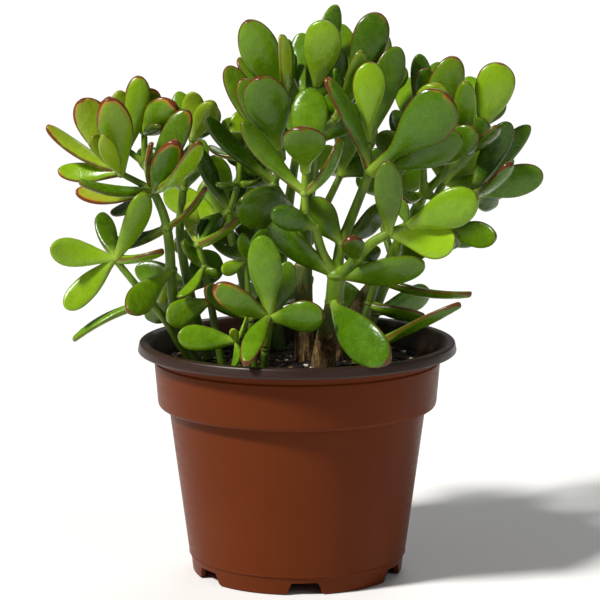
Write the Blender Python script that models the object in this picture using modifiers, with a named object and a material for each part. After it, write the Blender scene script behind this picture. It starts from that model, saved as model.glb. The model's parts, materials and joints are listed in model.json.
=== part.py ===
"""Potted jade plant (Crassula ovata) in a grower's pot.

Frame: +Z up, origin on the pot's axis at the surface it stands on, front towards -Y.
Design values are in millimetres and are turned into metres where a mesh is made.
"""

import math
from dataclasses import dataclass

import bmesh
import bpy
from mathutils import Matrix, Quaternion, Vector, kdtree

MM = 0.001
GAP = 0.3  # clearance between pieces that touch

# Pot
POT_HEIGHT = 125.0
LIP_RADIUS = 85.0
FOOT_RADIUS = 56.3
WALL = 1.6
WALL_TAPER = 0.128  # growth of the wall's radius for each millimetre of height
BODY_RADIUS = 57.0  # of the tapered wall, drawn down to the ground
FOOT_HEIGHT = 9.9
FLOOR_UNDERSIDE = 7.2
FLOOR_TOP = 9.0
SHOULDER_HEIGHT = 90.0
BAND_HEIGHT = 96.0
BAND_RADIUS = 74.0
NECK_HEIGHT = 114.2
NOTCH_COUNT = 6
NOTCH_HEIGHT = 6.5
NOTCH_WIDTH = 15.0
NOTCH_MOUTH = 23.0  # where its sides flare out at the ground
NOTCH_TURN = 4.0  # degrees from the front to the first notch
DRAIN_COUNT = 6
DRAIN_RADIUS = 4.0
DRAIN_CIRCLE = 40.0
POT_STEPS = 36

# Soil
SOIL_TOP = 113.0
SOIL_RADIUS = 73.9

# Leaves
LEAF_WIDEST = 0.66  # where a blade is widest, as a share of its length
LEAF_FOOT = 0.26  # its width where it clasps the stem, as a share of its widest
LEAF_SWELL = 1.55
LEAF_ROUNDING = 2.2  # of the tip; 2 is an ellipse
LEAF_THICKNESS = 3.6
LEAF_SAG = 0.07  # how far the middle hangs under the chord, as a share of the length
LEAF_RINGS = 5
LEAF_SIDES = 6
RING_SWELL = 1.5  # how far the ring at a joint stands out round its stem

# Leaves that grow side by side push each other apart in depth
CLEARANCE = 5.6
SETTLE_ROUNDS = 70
SETTLE_SHARE = 0.35
SETTLE_STEP = 2.0  # the most a tip moves in one round
DEPTH_LIMIT = 86.0  # of a tip, in front of the axis and behind it
SAMPLE_ALONG = (0.3, 0.45, 0.6, 0.75, 0.88, 1.0)
SAMPLE_ACROSS = (-0.8, -0.4, 0.0, 0.4, 0.8)


@dataclass
class Leaf:
    """A leaf from a joint of its cluster to a tip, turned about its own length."""

    joint: int
    tip: tuple
    width: float
    turn: float = 0.0
    arch: float = LEAF_SAG
    stalk: float = 0.0  # how much of its length is a narrow stalk


@dataclass
class Stem:
    """A stem and its branches: runs of points with the radius at each end, and the trunk it tops."""

    name: str
    finish: str
    runs: list
    trunk: str = ""


@dataclass
class Cluster:
    """Leaves round one or more joints, with the soft shoot that links the joints."""

    name: str
    joints: list
    radius: float
    leaves: list
    links: tuple = ()


STEMS = [
    Stem("front_trunk", "bark", [
        ([(13, -14, 106), (14.5, -18, 122), (16.5, -24, 136), (19.2, -29, 149.6)], 7.0, 4.5),
    ]),
    Stem("front_fork", "stem", [
        ([(19.1, -28.7, 148.8), (20.5, -31, 165)], 4.8, 4.8),
        ([(20.5, -31, 164), (17, -32, 169), (12.7, -33, 177), (9.2, -36, 190)], 3.3, 2.4),
        (
            [(20.5, -31, 164), (22.3, -27, 178), (26.5, -24, 189), (30.5, -22, 199), (37.2, -26, 217)],
            3.2, 2.4,
        ),
        (
            [(20.5, -31, 164), (24.5, -34, 167), (32.3, -37, 176), (39, -40, 183), (47.2, -43, 188)],
            3.2, 2.5,
        ),
    ], "front_trunk"),
    Stem("rear_trunk", "bark", [
        ([(4, 6, 106), (3.5, 6, 140), (3.2, 6, 165)], 5.2, 4.7),
    ]),
    Stem("rear_branches", "stem", [
        ([(3.2, 6, 164), (4, 8, 185), (6, 6, 208), (7, 2, 232), (6, 0, 250)], 4.2, 2.5),
        ([(4, 8, 184), (-3, 2, 193), (-12, -6, 208)], 2.8, 2.3),
        ([(7, 2, 231), (20, 0, 242.5)], 2.4, 2.1),
        ([(4, 8, 184), (8, 20, 205), (12, 32, 228)], 2.8, 2.1),
        ([(3.6, 7, 176), (-8, 22, 196), (-18, 36, 214)], 2.8, 2.1),
    ], "rear_trunk"),
    Stem("right_trunk", "bark", [
        ([(18, 8, 106), (24, 14, 122), (30.5, 19, 135), (38.6, 23, 146.5), (47, 27, 154.5)], 5.4, 4.2),
    ]),
    Stem("right_branches", "stem", [
        ([(46.3, 26.8, 153.6), (56, 22, 176), (64, 12, 194), (67, 6, 203)], 3.8, 2.8),
        ([(67, 6, 202), (66.5, 0, 217.5)], 2.4, 2.0),
        ([(67, 6, 202), (78, 2, 214), (88, 0, 225.5)], 2.4, 2.0),
        ([(67, 6, 202), (80, 2, 200), (92, -4, 203)], 2.2, 1.9),
        ([(56, 22, 175), (66, 8, 180), (74, -6, 184)], 2.2, 1.9),
    ], "right_trunk"),
    Stem("right_thin_stem", "stem", [
        ([(31, -2, 106), (33.2, 2, 126.5), (38, 6.6, 142)], 2.8, 2.5),
    ]),
    Stem("left_stem", "stem", [
        (
            [(-50, 4, 106), (-60, 0, 124), (-66, -3, 148), (-67.5, -6, 176), (-70, -8, 192), (-75.5, -10, 206)],
            3.4, 2.3,
        ),
    ]),
    Stem("left_rear_stem", "stem", [
        ([(-46, 14, 106), (-56, 14, 140), (-62.6, 12, 178), (-61, 13.6, 203)], 3.0, 2.2),
    ]),
    Stem("left_low_stem", "stem", [
        (
            [(-50, -9, 106), (-62, -11, 124), (-69.5, -12, 137), (-82, -14, 153), (-95.5, -14, 170)],
            2.4, 1.9,
        ),
    ]),
    Stem("inner_left_stem", "stem", [
        ([(-38, -14, 106), (-42, -14, 126), (-45.6, -13.4, 147)], 2.3, 2.1),
    ]),
    Stem("middle_left_stem", "stem", [
        ([(-24, 4, 106), (-28, 2, 150), (-35, 0, 180), (-36, 0, 193)], 2.6, 1.9),
    ]),
    Stem("low_middle_stem", "stem", [
        ([(-22, -14, 106), (-24.7, -14, 137)], 1.9, 1.8),
    ]),
    Stem("back_stem", "stem", [
        ([(-10, 38, 106), (-12, 44, 136), (-8, 50, 166), (-4, 54, 196), (0, 52, 222)], 4.2, 2.3),
        ([(-12, 44, 135), (-30, 54, 158), (-42, 58, 180)], 2.6, 2.0),
        ([(-8, 50, 165), (12, 60, 184), (24, 62, 206)], 2.6, 2.0),
    ]),
    Stem("back_right_stem", "stem", [
        ([(36, 34, 106), (42, 42, 132), (54, 50, 158), (70, 52, 182), (80, 46, 204)], 3.6, 2.2),
        ([(54, 50, 157), (48, 62, 176), (46, 68, 194)], 2.4, 1.9),
    ]),
]

CLUSTERS = [
    # Left shoots
    Cluster("left_crown_leaves", [
        (-75.5, -10, 206.3), (-92.5, -6, 214.5), (-80.5, 1, 219), (-90, 4, 226), (-80.8, 4, 235.5),
    ], 1.9, [
        Leaf(0, (-57, -14, 249), 15, -15),
        Leaf(0, (-62, -26, 235), 14, 15),
        Leaf(0, (-75, -18, 233), 9, 80),
        Leaf(0, (-49, -34, 237), 12, 50),
        Leaf(0, (-112, -26, 213.5), 12, 75),
        Leaf(0, (-116, -14, 205.5), 12, 40),
        Leaf(0, (-99.5, 12, 191), 10, 60),
        Leaf(1, (-132, -4, 239), 11, 55),
        Leaf(1, (-113, -10, 254), 19, 10),
        Leaf(1, (-96.5, -22, 256.5), 18, 5),
        Leaf(1, (-106.5, -24, 236), 9, 30),
        Leaf(1, (-99.5, -30, 237.5), 9, 0),
        Leaf(1, (-126.5, -10, 215), 12, 35),
        Leaf(1, (-112, 18, 236), 13, 20),
        Leaf(3, (-82.8, -4, 265.3), 14, 10),
        Leaf(3, (-94, 14, 257), 12, 20),
        Leaf(3, (-104, 26, 250), 12, 30),
        Leaf(4, (-64, -10, 252), 18, 5),
        Leaf(4, (-76.5, 12, 258.5), 14, 20),
        Leaf(4, (-63, 18, 246), 10, 20),
        Leaf(4, (-71, -10, 240), 8, 30),
        Leaf(4, (-84, 24, 254), 12, 0),
    ], ((0, 1), (0, 2), (2, 3), (2, 4))),
    Cluster("left_rear_leaves", [(-60.8, 13.7, 204), (-55.5, 14, 230.5)], 2.0, [
        Leaf(1, (-55.4, 8, 256), 12, 0),
        Leaf(1, (-44.3, 8, 252), 12, 10),
        Leaf(1, (-64, 30, 254), 12, 10),
        Leaf(1, (-44, 34, 244), 13, -10),
        Leaf(0, (-86, 38, 222), 15, 0),
        Leaf(0, (-52, 44, 226), 15, 0),
        Leaf(0, (-68, 36, 232), 14, 30),
    ]),
    Cluster("left_low_leaves", [(-95.8, -14, 170.5)], 1.9, [
        Leaf(0, (-78.6, -22, 206.6), 14, 25),
        Leaf(0, (-129, -16, 177), 15, 10),
        Leaf(0, (-122, -22, 144.4), 14, 20),
        Leaf(0, (-69.6, -24, 176), 11, 75),
        Leaf(0, (-104, 10, 192), 12, 30),
    ]),
    Cluster("left_stem_leaves", [(-66.9, -4, 163)], 3.0, [
        Leaf(0, (-87, -40, 146.5), 15, 0),
        Leaf(0, (-74, 12, 143), 9, 10),
    ]),
    Cluster("left_side_leaves", [(-68.8, -7, 186)], 2.9, [
        Leaf(0, (-47.3, -24, 209.5), 9, 80),
        Leaf(0, (-103, 8, 175), 11, 60),
    ]),
    Cluster("left_drooping_leaf", [(-77, -13.4, 147)], 2.2, [
        Leaf(0, (-119, -8, 125.8), 10, 80, -0.06),
    ]),
    Cluster("left_rear_low_leaves", [(-58, 13.5, 150)], 2.8, [
        Leaf(0, (-88, 32, 158), 15, 10),
        Leaf(0, (-44, 34, 166), 19, 0),
        Leaf(0, (-82, 30, 132), 15, 0),
    ]),
    # Inner left shoots
    Cluster("inner_left_leaves", [(-45.8, -13.4, 148), (-49, -12, 166), (-52, -14, 178)], 1.9, [
        Leaf(0, (-68, -30, 139), 15, 0),
        Leaf(1, (-60, -16, 180.5), 9, 65),
        Leaf(1, (-62, -22, 151.3), 9, 60),
        Leaf(1, (-41, -18, 161), 7, 40),
        Leaf(2, (-24.5, -18, 199), 12, 75),
        Leaf(2, (-57.5, 2, 197), 9, 20),
        Leaf(2, (-47, -2, 190), 8, 20),
        Leaf(2, (-40, -6, 194), 8, 40),
    ]),
    Cluster("low_middle_leaves", [(-24.8, -14, 138), (-27, -13, 169)], 1.7, [
        Leaf(0, (-48, -18, 157), 12, 30),
        Leaf(1, (-39.5, -22, 164.5), 8, 10),
        Leaf(1, (-29, -14, 185), 7, 20),
        Leaf(1, (-14, -6, 184), 10, 20),
        Leaf(0, (-6, -2, 156), 14, 0),
        Leaf(1, (-46, 8, 184), 14, 10),
    ]),
    Cluster("middle_left_leaves", [(-36, 0, 194), (-31, -2, 208.5), (-30, -1, 222)], 1.8, [
        Leaf(0, (-51.5, 2, 227.5), 10, 30),
        Leaf(0, (-28, 6, 212), 9, 10),
        Leaf(1, (-41, -10, 210), 9, 85),
        Leaf(1, (-19, -10, 211), 9, 85),
        Leaf(2, (-34, -6, 236), 12, 20),
        Leaf(2, (-30, 8, 246), 12, 10),
        Leaf(2, (-47, 10, 227), 8, 80),
        Leaf(0, (-18, 16, 172), 15, 0),
        Leaf(0, (-58, 8, 176), 13, 20),
    ]),
    # Front cuttings
    Cluster("front_cutting", [(-18, -37, 106), (-16.5, -43, 128), (-13.8, -48, 145)], 2.4, [
        Leaf(2, (-18.3, -52, 188), 17, 0, 0.03),
        Leaf(2, (-42.2, -54, 162.6), 15, -15),
        Leaf(2, (13.8, -60, 148.2), 17, 10),
        Leaf(2, (-26, -86, 127.5), 11, 30, -0.10),
        Leaf(2, (-4, -36, 172), 13, 0),
    ]),
    Cluster("small_cutting", [(-35, -38, 106), (-29.5, -41, 119), (-31.5, -42, 131.5)], 1.6, [
        Leaf(2, (-61.5, -46, 135), 14, 15, 0.0),
        Leaf(2, (-33, -46, 140), 5, 0),
        Leaf(2, (-26, -42, 143), 6, 70),
        Leaf(2, (-32.5, -62, 121.5), 7, 60),
    ]),
    Cluster("right_cutting", [(35, -22, 106), (40, -25, 126)], 2.0, [
        Leaf(1, (84.3, -42, 151), 12, 60, 0.0),
    ]),
    # Front fork
    Cluster("trunk_ring_leaf", [(19.3, -29, 150)], 4.6, [
        Leaf(0, (46, -80, 127.8), 22, 10, -0.13, 0.1),
    ]),
    Cluster("fork_leaves", [(20.5, -31, 164.5)], 4.8, [
        Leaf(0, (-14.7, -20, 191), 17, -35),
        Leaf(0, (66, -38, 171), 18, 25),
    ]),
    Cluster("fork_small_leaves", [(30.5, -36.3, 173.9)], 2.9, [
        Leaf(0, (27.1, -52, 187), 12, 0),
        Leaf(0, (43, -26, 177), 8, 0),
    ]),
    Cluster("fork_middle_leaves", [(23, -26.5, 180.5)], 2.9, [
        Leaf(0, (5.5, -24, 203.2), 17, 0),
        Leaf(0, (46, -2, 196), 15, 30),
    ]),
    Cluster("front_shoot", [(9.2, -36, 190), (4.3, -38, 198), (3.7, -38, 208), (4.2, -38, 220)], 2.0, [
        Leaf(0, (-13, -46, 199.6), 13, 5),
        Leaf(2, (-28.3, -32, 244.7), 13, 45),
        Leaf(2, (22.4, -36, 236), 12, 62, 0.12),
        Leaf(3, (3.3, -64, 244), 22.5, 0, 0.07, 0.2),
        Leaf(3, (6.9, -28, 261.5), 19, 0),
    ]),
    Cluster("fork_top_leaves", [(37.2, -26, 217), (36.5, -22, 233)], 2.3, [
        Leaf(0, (14.6, -32, 267.3), 13, 50),
        Leaf(0, (77.3, -48, 258.6), 27, 0, 0.07, 0.3),
        Leaf(0, (84.6, -34, 236.5), 18, 10, 0.07, 0.2),
        Leaf(1, (37.4, -26, 274.5), 17, 0, 0.07, 0.15),
        Leaf(1, (52.7, -8, 281), 17, 15),
    ]),
    Cluster("right_front_leaves", [(47.2, -43, 188), (57, -42, 192)], 2.4, [
        Leaf(0, (45.2, -54, 226.8), 15, 0),
        Leaf(0, (80.6, -54, 184), 20, -10, 0.12),
        Leaf(1, (91.2, -48, 208.6), 20, 0),
        Leaf(1, (51.6, -50, 206), 7, 0),
        Leaf(1, (84.1, -26, 179), 15, 10),
    ]),
    # Crown on the rear branches
    Cluster("crown_left_leaves", [
        (-12, -6, 209), (-8, -8, 223), (-9, -6, 252), (-10, -16, 229),
    ], 2.1, [
        Leaf(0, (-47.8, -16, 245.6), 11, 40),
        Leaf(0, (-32, 16, 216), 16, 0),
        Leaf(3, (-19.5, -38, 267.5), 24, 0, 0.07, 0.1),
        Leaf(3, (-29.4, -22, 265), 15, 10),
        Leaf(3, (-36.7, -6, 271), 15, 20),
        Leaf(2, (-25.8, -8, 295.4), 20, 5),
        Leaf(2, (-7.9, -16, 288.8), 12, 65),
        Leaf(2, (-5, -2, 285), 10, 60),
        Leaf(2, (-31, 4, 274), 10, 50),
        Leaf(2, (-2, 10, 276), 10, 30),
        Leaf(2, (-22, 22, 284), 15, 0),
    ], ((0, 1), (1, 2), (1, 3))),
    Cluster("rear_joint_leaves", [(-1, 3.7, 190.5)], 3.0, [
        Leaf(0, (-30, -22, 203), 24, 0),
    ]),
    Cluster("crown_top_leaves", [(6, 0, 250), (10, 2, 260)], 2.4, [
        Leaf(1, (14, 4, 294.7), 20, 0),
        Leaf(1, (20.7, 16, 301.3), 13, 20),
        Leaf(0, (19.9, -12, 282), 22, -10),
        Leaf(0, (2, 20, 286), 16, 0),
        Leaf(1, (24, 32, 284), 16, 0),
    ]),
    Cluster("crown_right_leaves", [(20, 0, 243), (30, 1, 256)], 2.0, [
        Leaf(1, (42.5, 2, 298.5), 19, 0),
        Leaf(1, (47, 24, 286), 16, 0),
        Leaf(1, (24, 30, 290), 14, 20),
        Leaf(0, (32.7, -14, 280), 12, 45),
        Leaf(0, (19.6, -16, 270), 7, 60),
        Leaf(1, (58, 6, 268), 15, 0),
    ]),
    Cluster("crown_back_leaves", [(12, 32, 228)], 2.1, [
        Leaf(0, (-2, 44, 264), 17, 0),
        Leaf(0, (30, 46, 262), 17, 0),
        Leaf(0, (36, 30, 246), 15, 10),
        Leaf(0, (8, 58, 248), 16, 0),
    ]),
    Cluster("crown_back_left_leaves", [(-18, 36, 214)], 2.1, [
        Leaf(0, (-40, 46, 238), 16, 0),
        Leaf(0, (-24, 30, 256), 16, 0),
        Leaf(0, (-10, 60, 236), 14, 0),
        Leaf(0, (-38, 26, 226), 14, 20),
    ]),
    # Right branches
    Cluster("right_top_leaves", [(66.5, 0, 218), (67, -2, 236)], 2.0, [
        Leaf(0, (92, -20, 239.8), 17, 0),
        Leaf(0, (52, 18, 244), 14, 10),
        Leaf(1, (64.6, 14, 275.8), 12, 0),
        Leaf(1, (67, 2, 269.4), 13, 10),
        Leaf(1, (72.6, -12, 262.6), 20, 0),
        Leaf(1, (82.6, 10, 276), 18, 0),
        Leaf(1, (76, 24, 270), 14, 0),
        Leaf(1, (56, 28, 262), 14, 0),
        Leaf(0, (42, 6, 234), 14, 10),
    ]),
    Cluster("right_outer_leaves", [(88, 0, 226), (97, 2, 238)], 2.0, [
        Leaf(0, (97.7, -8, 243.4), 15, 10),
        Leaf(0, (103, -16, 241), 12, 55),
        Leaf(0, (86.3, -14, 264.7), 12, 0),
        Leaf(1, (106.7, -4, 272.3), 21, 0),
        Leaf(1, (108, 14, 254), 13, 0),
        Leaf(1, (92, 26, 262), 16, 0),
    ]),
    Cluster("right_side_leaves", [(92, -4, 203)], 1.9, [
        Leaf(0, (129, -18, 214.8), 17, 0),
        Leaf(0, (109.1, -26, 223), 13, 55),
        Leaf(0, (124, 8, 237.5), 12, 0),
        Leaf(0, (111.8, -2, 241), 14, 0),
        Leaf(0, (106, 12, 196), 12, 10),
        Leaf(0, (116, 28, 218), 15, 10),
    ]),
    Cluster("right_low_leaves", [(74, -6, 184)], 1.9, [
        Leaf(0, (103.5, -20, 183.5), 14, 0),
        Leaf(0, (97, 2, 177), 12, 30),
        Leaf(0, (58, 12, 168), 15, 0),
    ]),
    Cluster("right_joint_leaf", [(66.4, 7, 201)], 2.8, [
        Leaf(0, (51.4, -20, 207.2), 12, 70),
    ]),
    Cluster("right_thin_leaves", [(38.4, 7, 143), (43, 8, 157)], 2.4, [
        Leaf(0, (68, 0, 137), 12, 50),
        Leaf(1, (92.3, -8, 150.6), 12, 70),
        Leaf(1, (22, 18, 178), 12, 0),
    ]),
    # Back of the plant
    Cluster("back_top_leaves", [(0, 52, 222)], 2.3, [
        Leaf(0, (-16, 66, 256), 18, 0),
        Leaf(0, (16, 72, 254), 18, 0),
        Leaf(0, (0, 84, 240), 16, 0),
        Leaf(0, (24, 48, 240), 15, 0),
    ]),
    Cluster("back_left_leaves", [(-42, 58, 180)], 2.0, [
        Leaf(0, (-74, 62, 196), 17, 0),
        Leaf(0, (-52, 84, 200), 16, 0),
        Leaf(0, (-46, 54, 218), 16, 0),
        Leaf(0, (-26, 78, 204), 15, 0),
        Leaf(0, (-68, 52, 166), 14, 0),
    ]),
    Cluster("back_middle_leaves", [(-8, 50, 165)], 3.6, [
        Leaf(0, (-34, 62, 176), 19, 0),
        Leaf(0, (10, 84, 174), 15, 0),
        Leaf(0, (-20, 82, 190), 15, 0),
    ]),
    Cluster("back_centre_leaves", [(24, 62, 206)], 2.0, [
        Leaf(0, (42, 78, 234), 17, 0),
        Leaf(0, (12, 84, 218), 16, 0),
        Leaf(0, (54, 66, 216), 16, 0),
        Leaf(0, (30, 54, 246), 17, 0),
    ]),
    Cluster("back_right_leaves", [(80, 46, 204)], 2.2, [
        Leaf(0, (110, 58, 226), 18, 0),
        Leaf(0, (84, 72, 232), 17, 0),
        Leaf(0, (96, 34, 240), 16, 0),
        Leaf(0, (114, 42, 200), 15, 0),
        Leaf(0, (70, 42, 242), 16, 0),
    ]),
    Cluster("back_low_right_leaves", [(46, 68, 194)], 1.9, [
        Leaf(0, (72, 84, 206), 15, 0),
        Leaf(0, (36, 86, 206), 15, 0),
        Leaf(0, (62, 74, 224), 15, 0),
    ]),
    Cluster("back_low_leaves", [(42, 42, 132)], 3.4, [
        Leaf(0, (74, 66, 140), 15, 10),
        Leaf(0, (18, 70, 144), 14, 0),
    ]),
    Cluster("back_bottom_leaves", [(-12, 44, 135)], 3.8, [
        Leaf(0, (-36, 80, 138), 15, 0),
        Leaf(0, (8, 82, 146), 14, 0),
    ]),
]

COLOURS = {
    "terracotta_plastic": ((0.30, 0.09, 0.045, 1.0), 0.42),
    "potting_soil": ((0.012, 0.008, 0.006, 1.0), 0.95),
    "bark": ((0.14, 0.10, 0.05, 1.0), 0.85),
    "stem": ((0.22, 0.36, 0.05, 1.0), 0.45),
    "leaf": ((0.13, 0.28, 0.03, 1.0), 0.32),
}


def clear_scene():
    """Removes every object that the file opened with."""
    for item in list(bpy.data.objects):
        bpy.data.objects.remove(item, do_unlink=True)


def new_collection(name, helper=False):
    """Returns a collection linked to the scene; a helper's objects aren't rendered."""
    group = bpy.data.collections.new(name)
    bpy.context.scene.collection.children.link(group)
    group.hide_render = helper
    return group


def make_material(name):
    """Returns the Principled material for one of the object's finishes."""
    colour, roughness = COLOURS[name]
    material = bpy.data.materials.new(name)
    material.use_nodes = True
    shader = material.node_tree.nodes["Principled BSDF"]
    shader.inputs["Base Color"].default_value = colour
    shader.inputs["Roughness"].default_value = roughness
    shader.inputs["Metallic"].default_value = 0.0
    return material


def add_object(name, mesh, group):
    """Returns a new object that shows mesh, linked to one collection."""
    item = bpy.data.objects.new(name, mesh)
    group.objects.link(item)
    return item


def as_helper(item):
    """Marks an object that only shapes others."""
    item.hide_render = True
    item.display_type = "WIRE"
    return item


def smooth_run(points, per_span=2):
    """Returns points on a Catmull-Rom curve through a run's own points."""
    run = [Vector(p) for p in points]
    if len(run) == 2:
        return run
    ends = [run[0] * 2 - run[1]] + run + [run[-1] * 2 - run[-2]]
    path = []
    for i in range(len(run) - 1):
        a, b, c, d = ends[i : i + 4]
        for k in range(per_span):
            t = k / per_span
            path.append(
                0.5 * (2 * b + (c - a) * t + (2 * a - 5 * b + 4 * c - d) * t**2 + (3 * b - a - 3 * c + d) * t**3)
            )
    path.append(run[-1])
    return path


def tube(name, points, start, end, group, grow=0.0):
    """Returns a closed mesh tube along points, its radius going from start to end."""
    path = smooth_run(points)
    if grow:
        path[0] = path[0] - (path[1] - path[0]).normalized() * grow
        path[-1] = path[-1] + (path[-1] - path[-2]).normalized() * grow
    curve = bpy.data.curves.new(name, "CURVE")
    curve.dimensions = "3D"
    curve.bevel_depth = MM
    curve.bevel_resolution = 2
    curve.use_fill_caps = True
    line = curve.splines.new("POLY")
    line.points.add(len(path) - 1)
    for i, point in enumerate(path):
        share = i / (len(path) - 1)
        line.points[i].co = (*(point * MM), 1.0)
        line.points[i].radius = start + (end - start) * share + grow
    guide = add_object(name, curve, group)
    graph = bpy.context.evaluated_depsgraph_get()
    mesh = bpy.data.meshes.new_from_object(guide.evaluated_get(graph))
    bpy.data.objects.remove(guide)
    shape = bmesh.new()
    shape.from_mesh(mesh)
    bmesh.ops.remove_doubles(shape, verts=shape.verts, dist=0.00001)
    shape.to_mesh(mesh)
    shape.free()
    return as_helper(add_object(name, mesh, group))


def ball(name, centre, radius, group):
    """Returns the round swelling at a joint."""
    shape = bmesh.new()
    bmesh.ops.create_uvsphere(shape, u_segments=6, v_segments=4, radius=radius * MM)
    bmesh.ops.translate(shape, verts=shape.verts, vec=Vector(centre) * MM)
    mesh = bpy.data.meshes.new(name)
    shape.to_mesh(mesh)
    shape.free()
    return as_helper(add_object(name, mesh, group))


def outline(t, stalk):
    """Returns a blade's half width at t of its length, as a share of its widest, past a narrow stalk."""
    t = max(0.0, t - stalk) / (1 - stalk)
    if t < LEAF_WIDEST:
        return LEAF_FOOT + (1 - LEAF_FOOT) * math.sin(math.pi / 2 * t / LEAF_WIDEST) ** LEAF_SWELL
    reach = (min(t, 1.0) - LEAF_WIDEST) / (1 - LEAF_WIDEST)
    return math.sqrt(max(0.0, 1 - reach**LEAF_ROUNDING))


def leaf_axes(base, tip, turn):
    """Returns a leaf's length, the direction along it, across it and out of its upper face."""
    chord = tip - base
    along = chord.normalized()
    facing = Vector((0, -1, 0))
    normal = facing - along * along.dot(facing)
    if normal.length < 0.15:
        normal = Vector((0, 0, 1)) - along * along.z
    normal.rotate(Quaternion(along, math.radians(turn)))
    normal.normalize()
    inward = Vector((-tip.x, -tip.y, 0)).normalized()
    if normal.dot(Vector((0, 0, 1)) + 0.3 * inward) < 0:
        normal.negate()
    return chord.length, along, along.cross(normal), normal


def leaf_point(base, axes, leaf, t, side):
    """Returns the middle of a blade's thickness at t along it and side across it."""
    length, along, across, up = axes
    sag = leaf.arch * length * 4 * t * (1 - t)
    half = outline(t, leaf.stalk) * leaf.width / 2
    return base + along * (length * t) - up * sag + across * (half * side)


def leaf_solid(name, base, leaf, group):
    """Returns a leaf: a sphere's rings drawn out into a flat blade on its stalk."""
    axes = leaf_axes(base, Vector(leaf.tip), leaf.turn)
    up = axes[3]
    shape = bmesh.new()
    bmesh.ops.create_uvsphere(shape, u_segments=LEAF_SIDES, v_segments=LEAF_RINGS, radius=1.0)
    for vert in shape.verts:
        polar = math.acos(max(-1.0, min(1.0, vert.co.z)))
        t = math.sin(polar / 2)
        ring = math.hypot(vert.co.x, vert.co.y)
        side = vert.co.x / ring if ring > 0.001 else 0.0
        lift = vert.co.y / ring if ring > 0.001 else 0.0
        thick = LEAF_THICKNESS / 2 * (1 - 0.35 * t)
        vert.co = (leaf_point(base, axes, leaf, t, side) + up * (lift * thick)) * MM
    bmesh.ops.recalc_face_normals(shape, faces=shape.faces)
    mesh = bpy.data.meshes.new(name)
    shape.to_mesh(mesh)
    shape.free()
    return as_helper(add_object(name, mesh, group))


def settle_leaves(clusters):
    """Moves the tips of leaves that crowd each other apart in depth, a little each round."""
    leaves = [(c, leaf) for c in clusters for leaf in c.leaves]
    for _ in range(SETTLE_ROUNDS):
        points = []
        owners = []
        for number, (cluster, leaf) in enumerate(leaves):
            base = Vector(cluster.joints[leaf.joint])
            axes = leaf_axes(base, Vector(leaf.tip), leaf.turn)
            for t in SAMPLE_ALONG:
                for side in SAMPLE_ACROSS:
                    points.append(leaf_point(base, axes, leaf, t, side))
                    owners.append(number)
        tree = kdtree.KDTree(len(points))
        for i, point in enumerate(points):
            tree.insert(point, i)
        tree.balance()
        pushes = {}
        for i, point in enumerate(points):
            for other, j, distance in tree.find_range(point, CLEARANCE):
                first = owners[i]
                second = owners[j]
                if first >= second:
                    continue
                pair = pushes.setdefault((first, second), [0.0, 0.0])
                pair[0] += point.y - other.y
                pair[1] = max(pair[1], CLEARANCE - distance)
        if not pushes:
            break
        moves = [0.0] * len(leaves)
        for (first, second), (depth, overlap) in pushes.items():
            step = math.copysign(overlap * SETTLE_SHARE, depth)
            moves[first] += step
            moves[second] -= step
        for (_, leaf), move in zip(leaves, moves):
            x, y, z = leaf.tip
            y += max(-SETTLE_STEP, min(SETTLE_STEP, move))
            leaf.tip = (x, max(-DEPTH_LIMIT, min(DEPTH_LIMIT, y)), z)


def fuse(name, parts, cutters, material, group):
    """Returns one object: the union of parts, less the cutters; the parts are removed."""
    joined = new_collection(name + "_parts", helper=True)
    for part in parts[1:]:
        joined.objects.link(part)
    body = parts[0]
    if len(parts) > 1:
        union = body.modifiers.new("join", "BOOLEAN")
        union.operation = "UNION"
        union.operand_type = "COLLECTION"
        union.collection = joined
        union.solver = "EXACT"
    if cutters:
        cut = body.modifiers.new("clear_stems", "BOOLEAN")
        cut.operation = "DIFFERENCE"
        cut.operand_type = "COLLECTION"
        cut.collection = cutters
        cut.solver = "EXACT"
    graph = bpy.context.evaluated_depsgraph_get()
    mesh = bpy.data.meshes.new_from_object(body.evaluated_get(graph))
    mesh.name = name
    mesh.materials.clear()
    mesh.materials.append(material)
    for part in parts:
        bpy.data.objects.remove(part, do_unlink=True)
    bpy.data.collections.remove(joined)
    result = add_object(name, mesh, group)
    mesh.shade_smooth()
    mesh.set_sharp_from_angle(angle=math.radians(40))
    return result


def turned(name, profile, group):
    """Returns a round object from its profile, which runs down its outer side."""
    mesh = bpy.data.meshes.new(name)
    edges = [(i, i + 1) for i in range(len(profile) - 1)]
    mesh.from_pydata([(r * MM, 0.0, z * MM) for r, z in profile], edges, [])
    item = add_object(name, mesh, group)
    screw = item.modifiers.new("turn", "SCREW")
    screw.axis = "Z"
    screw.steps = POT_STEPS
    screw.render_steps = POT_STEPS
    screw.use_merge_vertices = True
    screw.merge_threshold = 0.00001
    screw.use_smooth_shade = True
    return item


def wall_radius(z):
    """Returns the tapered wall's outer radius at a height."""
    return BODY_RADIUS + WALL_TAPER * z


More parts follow.
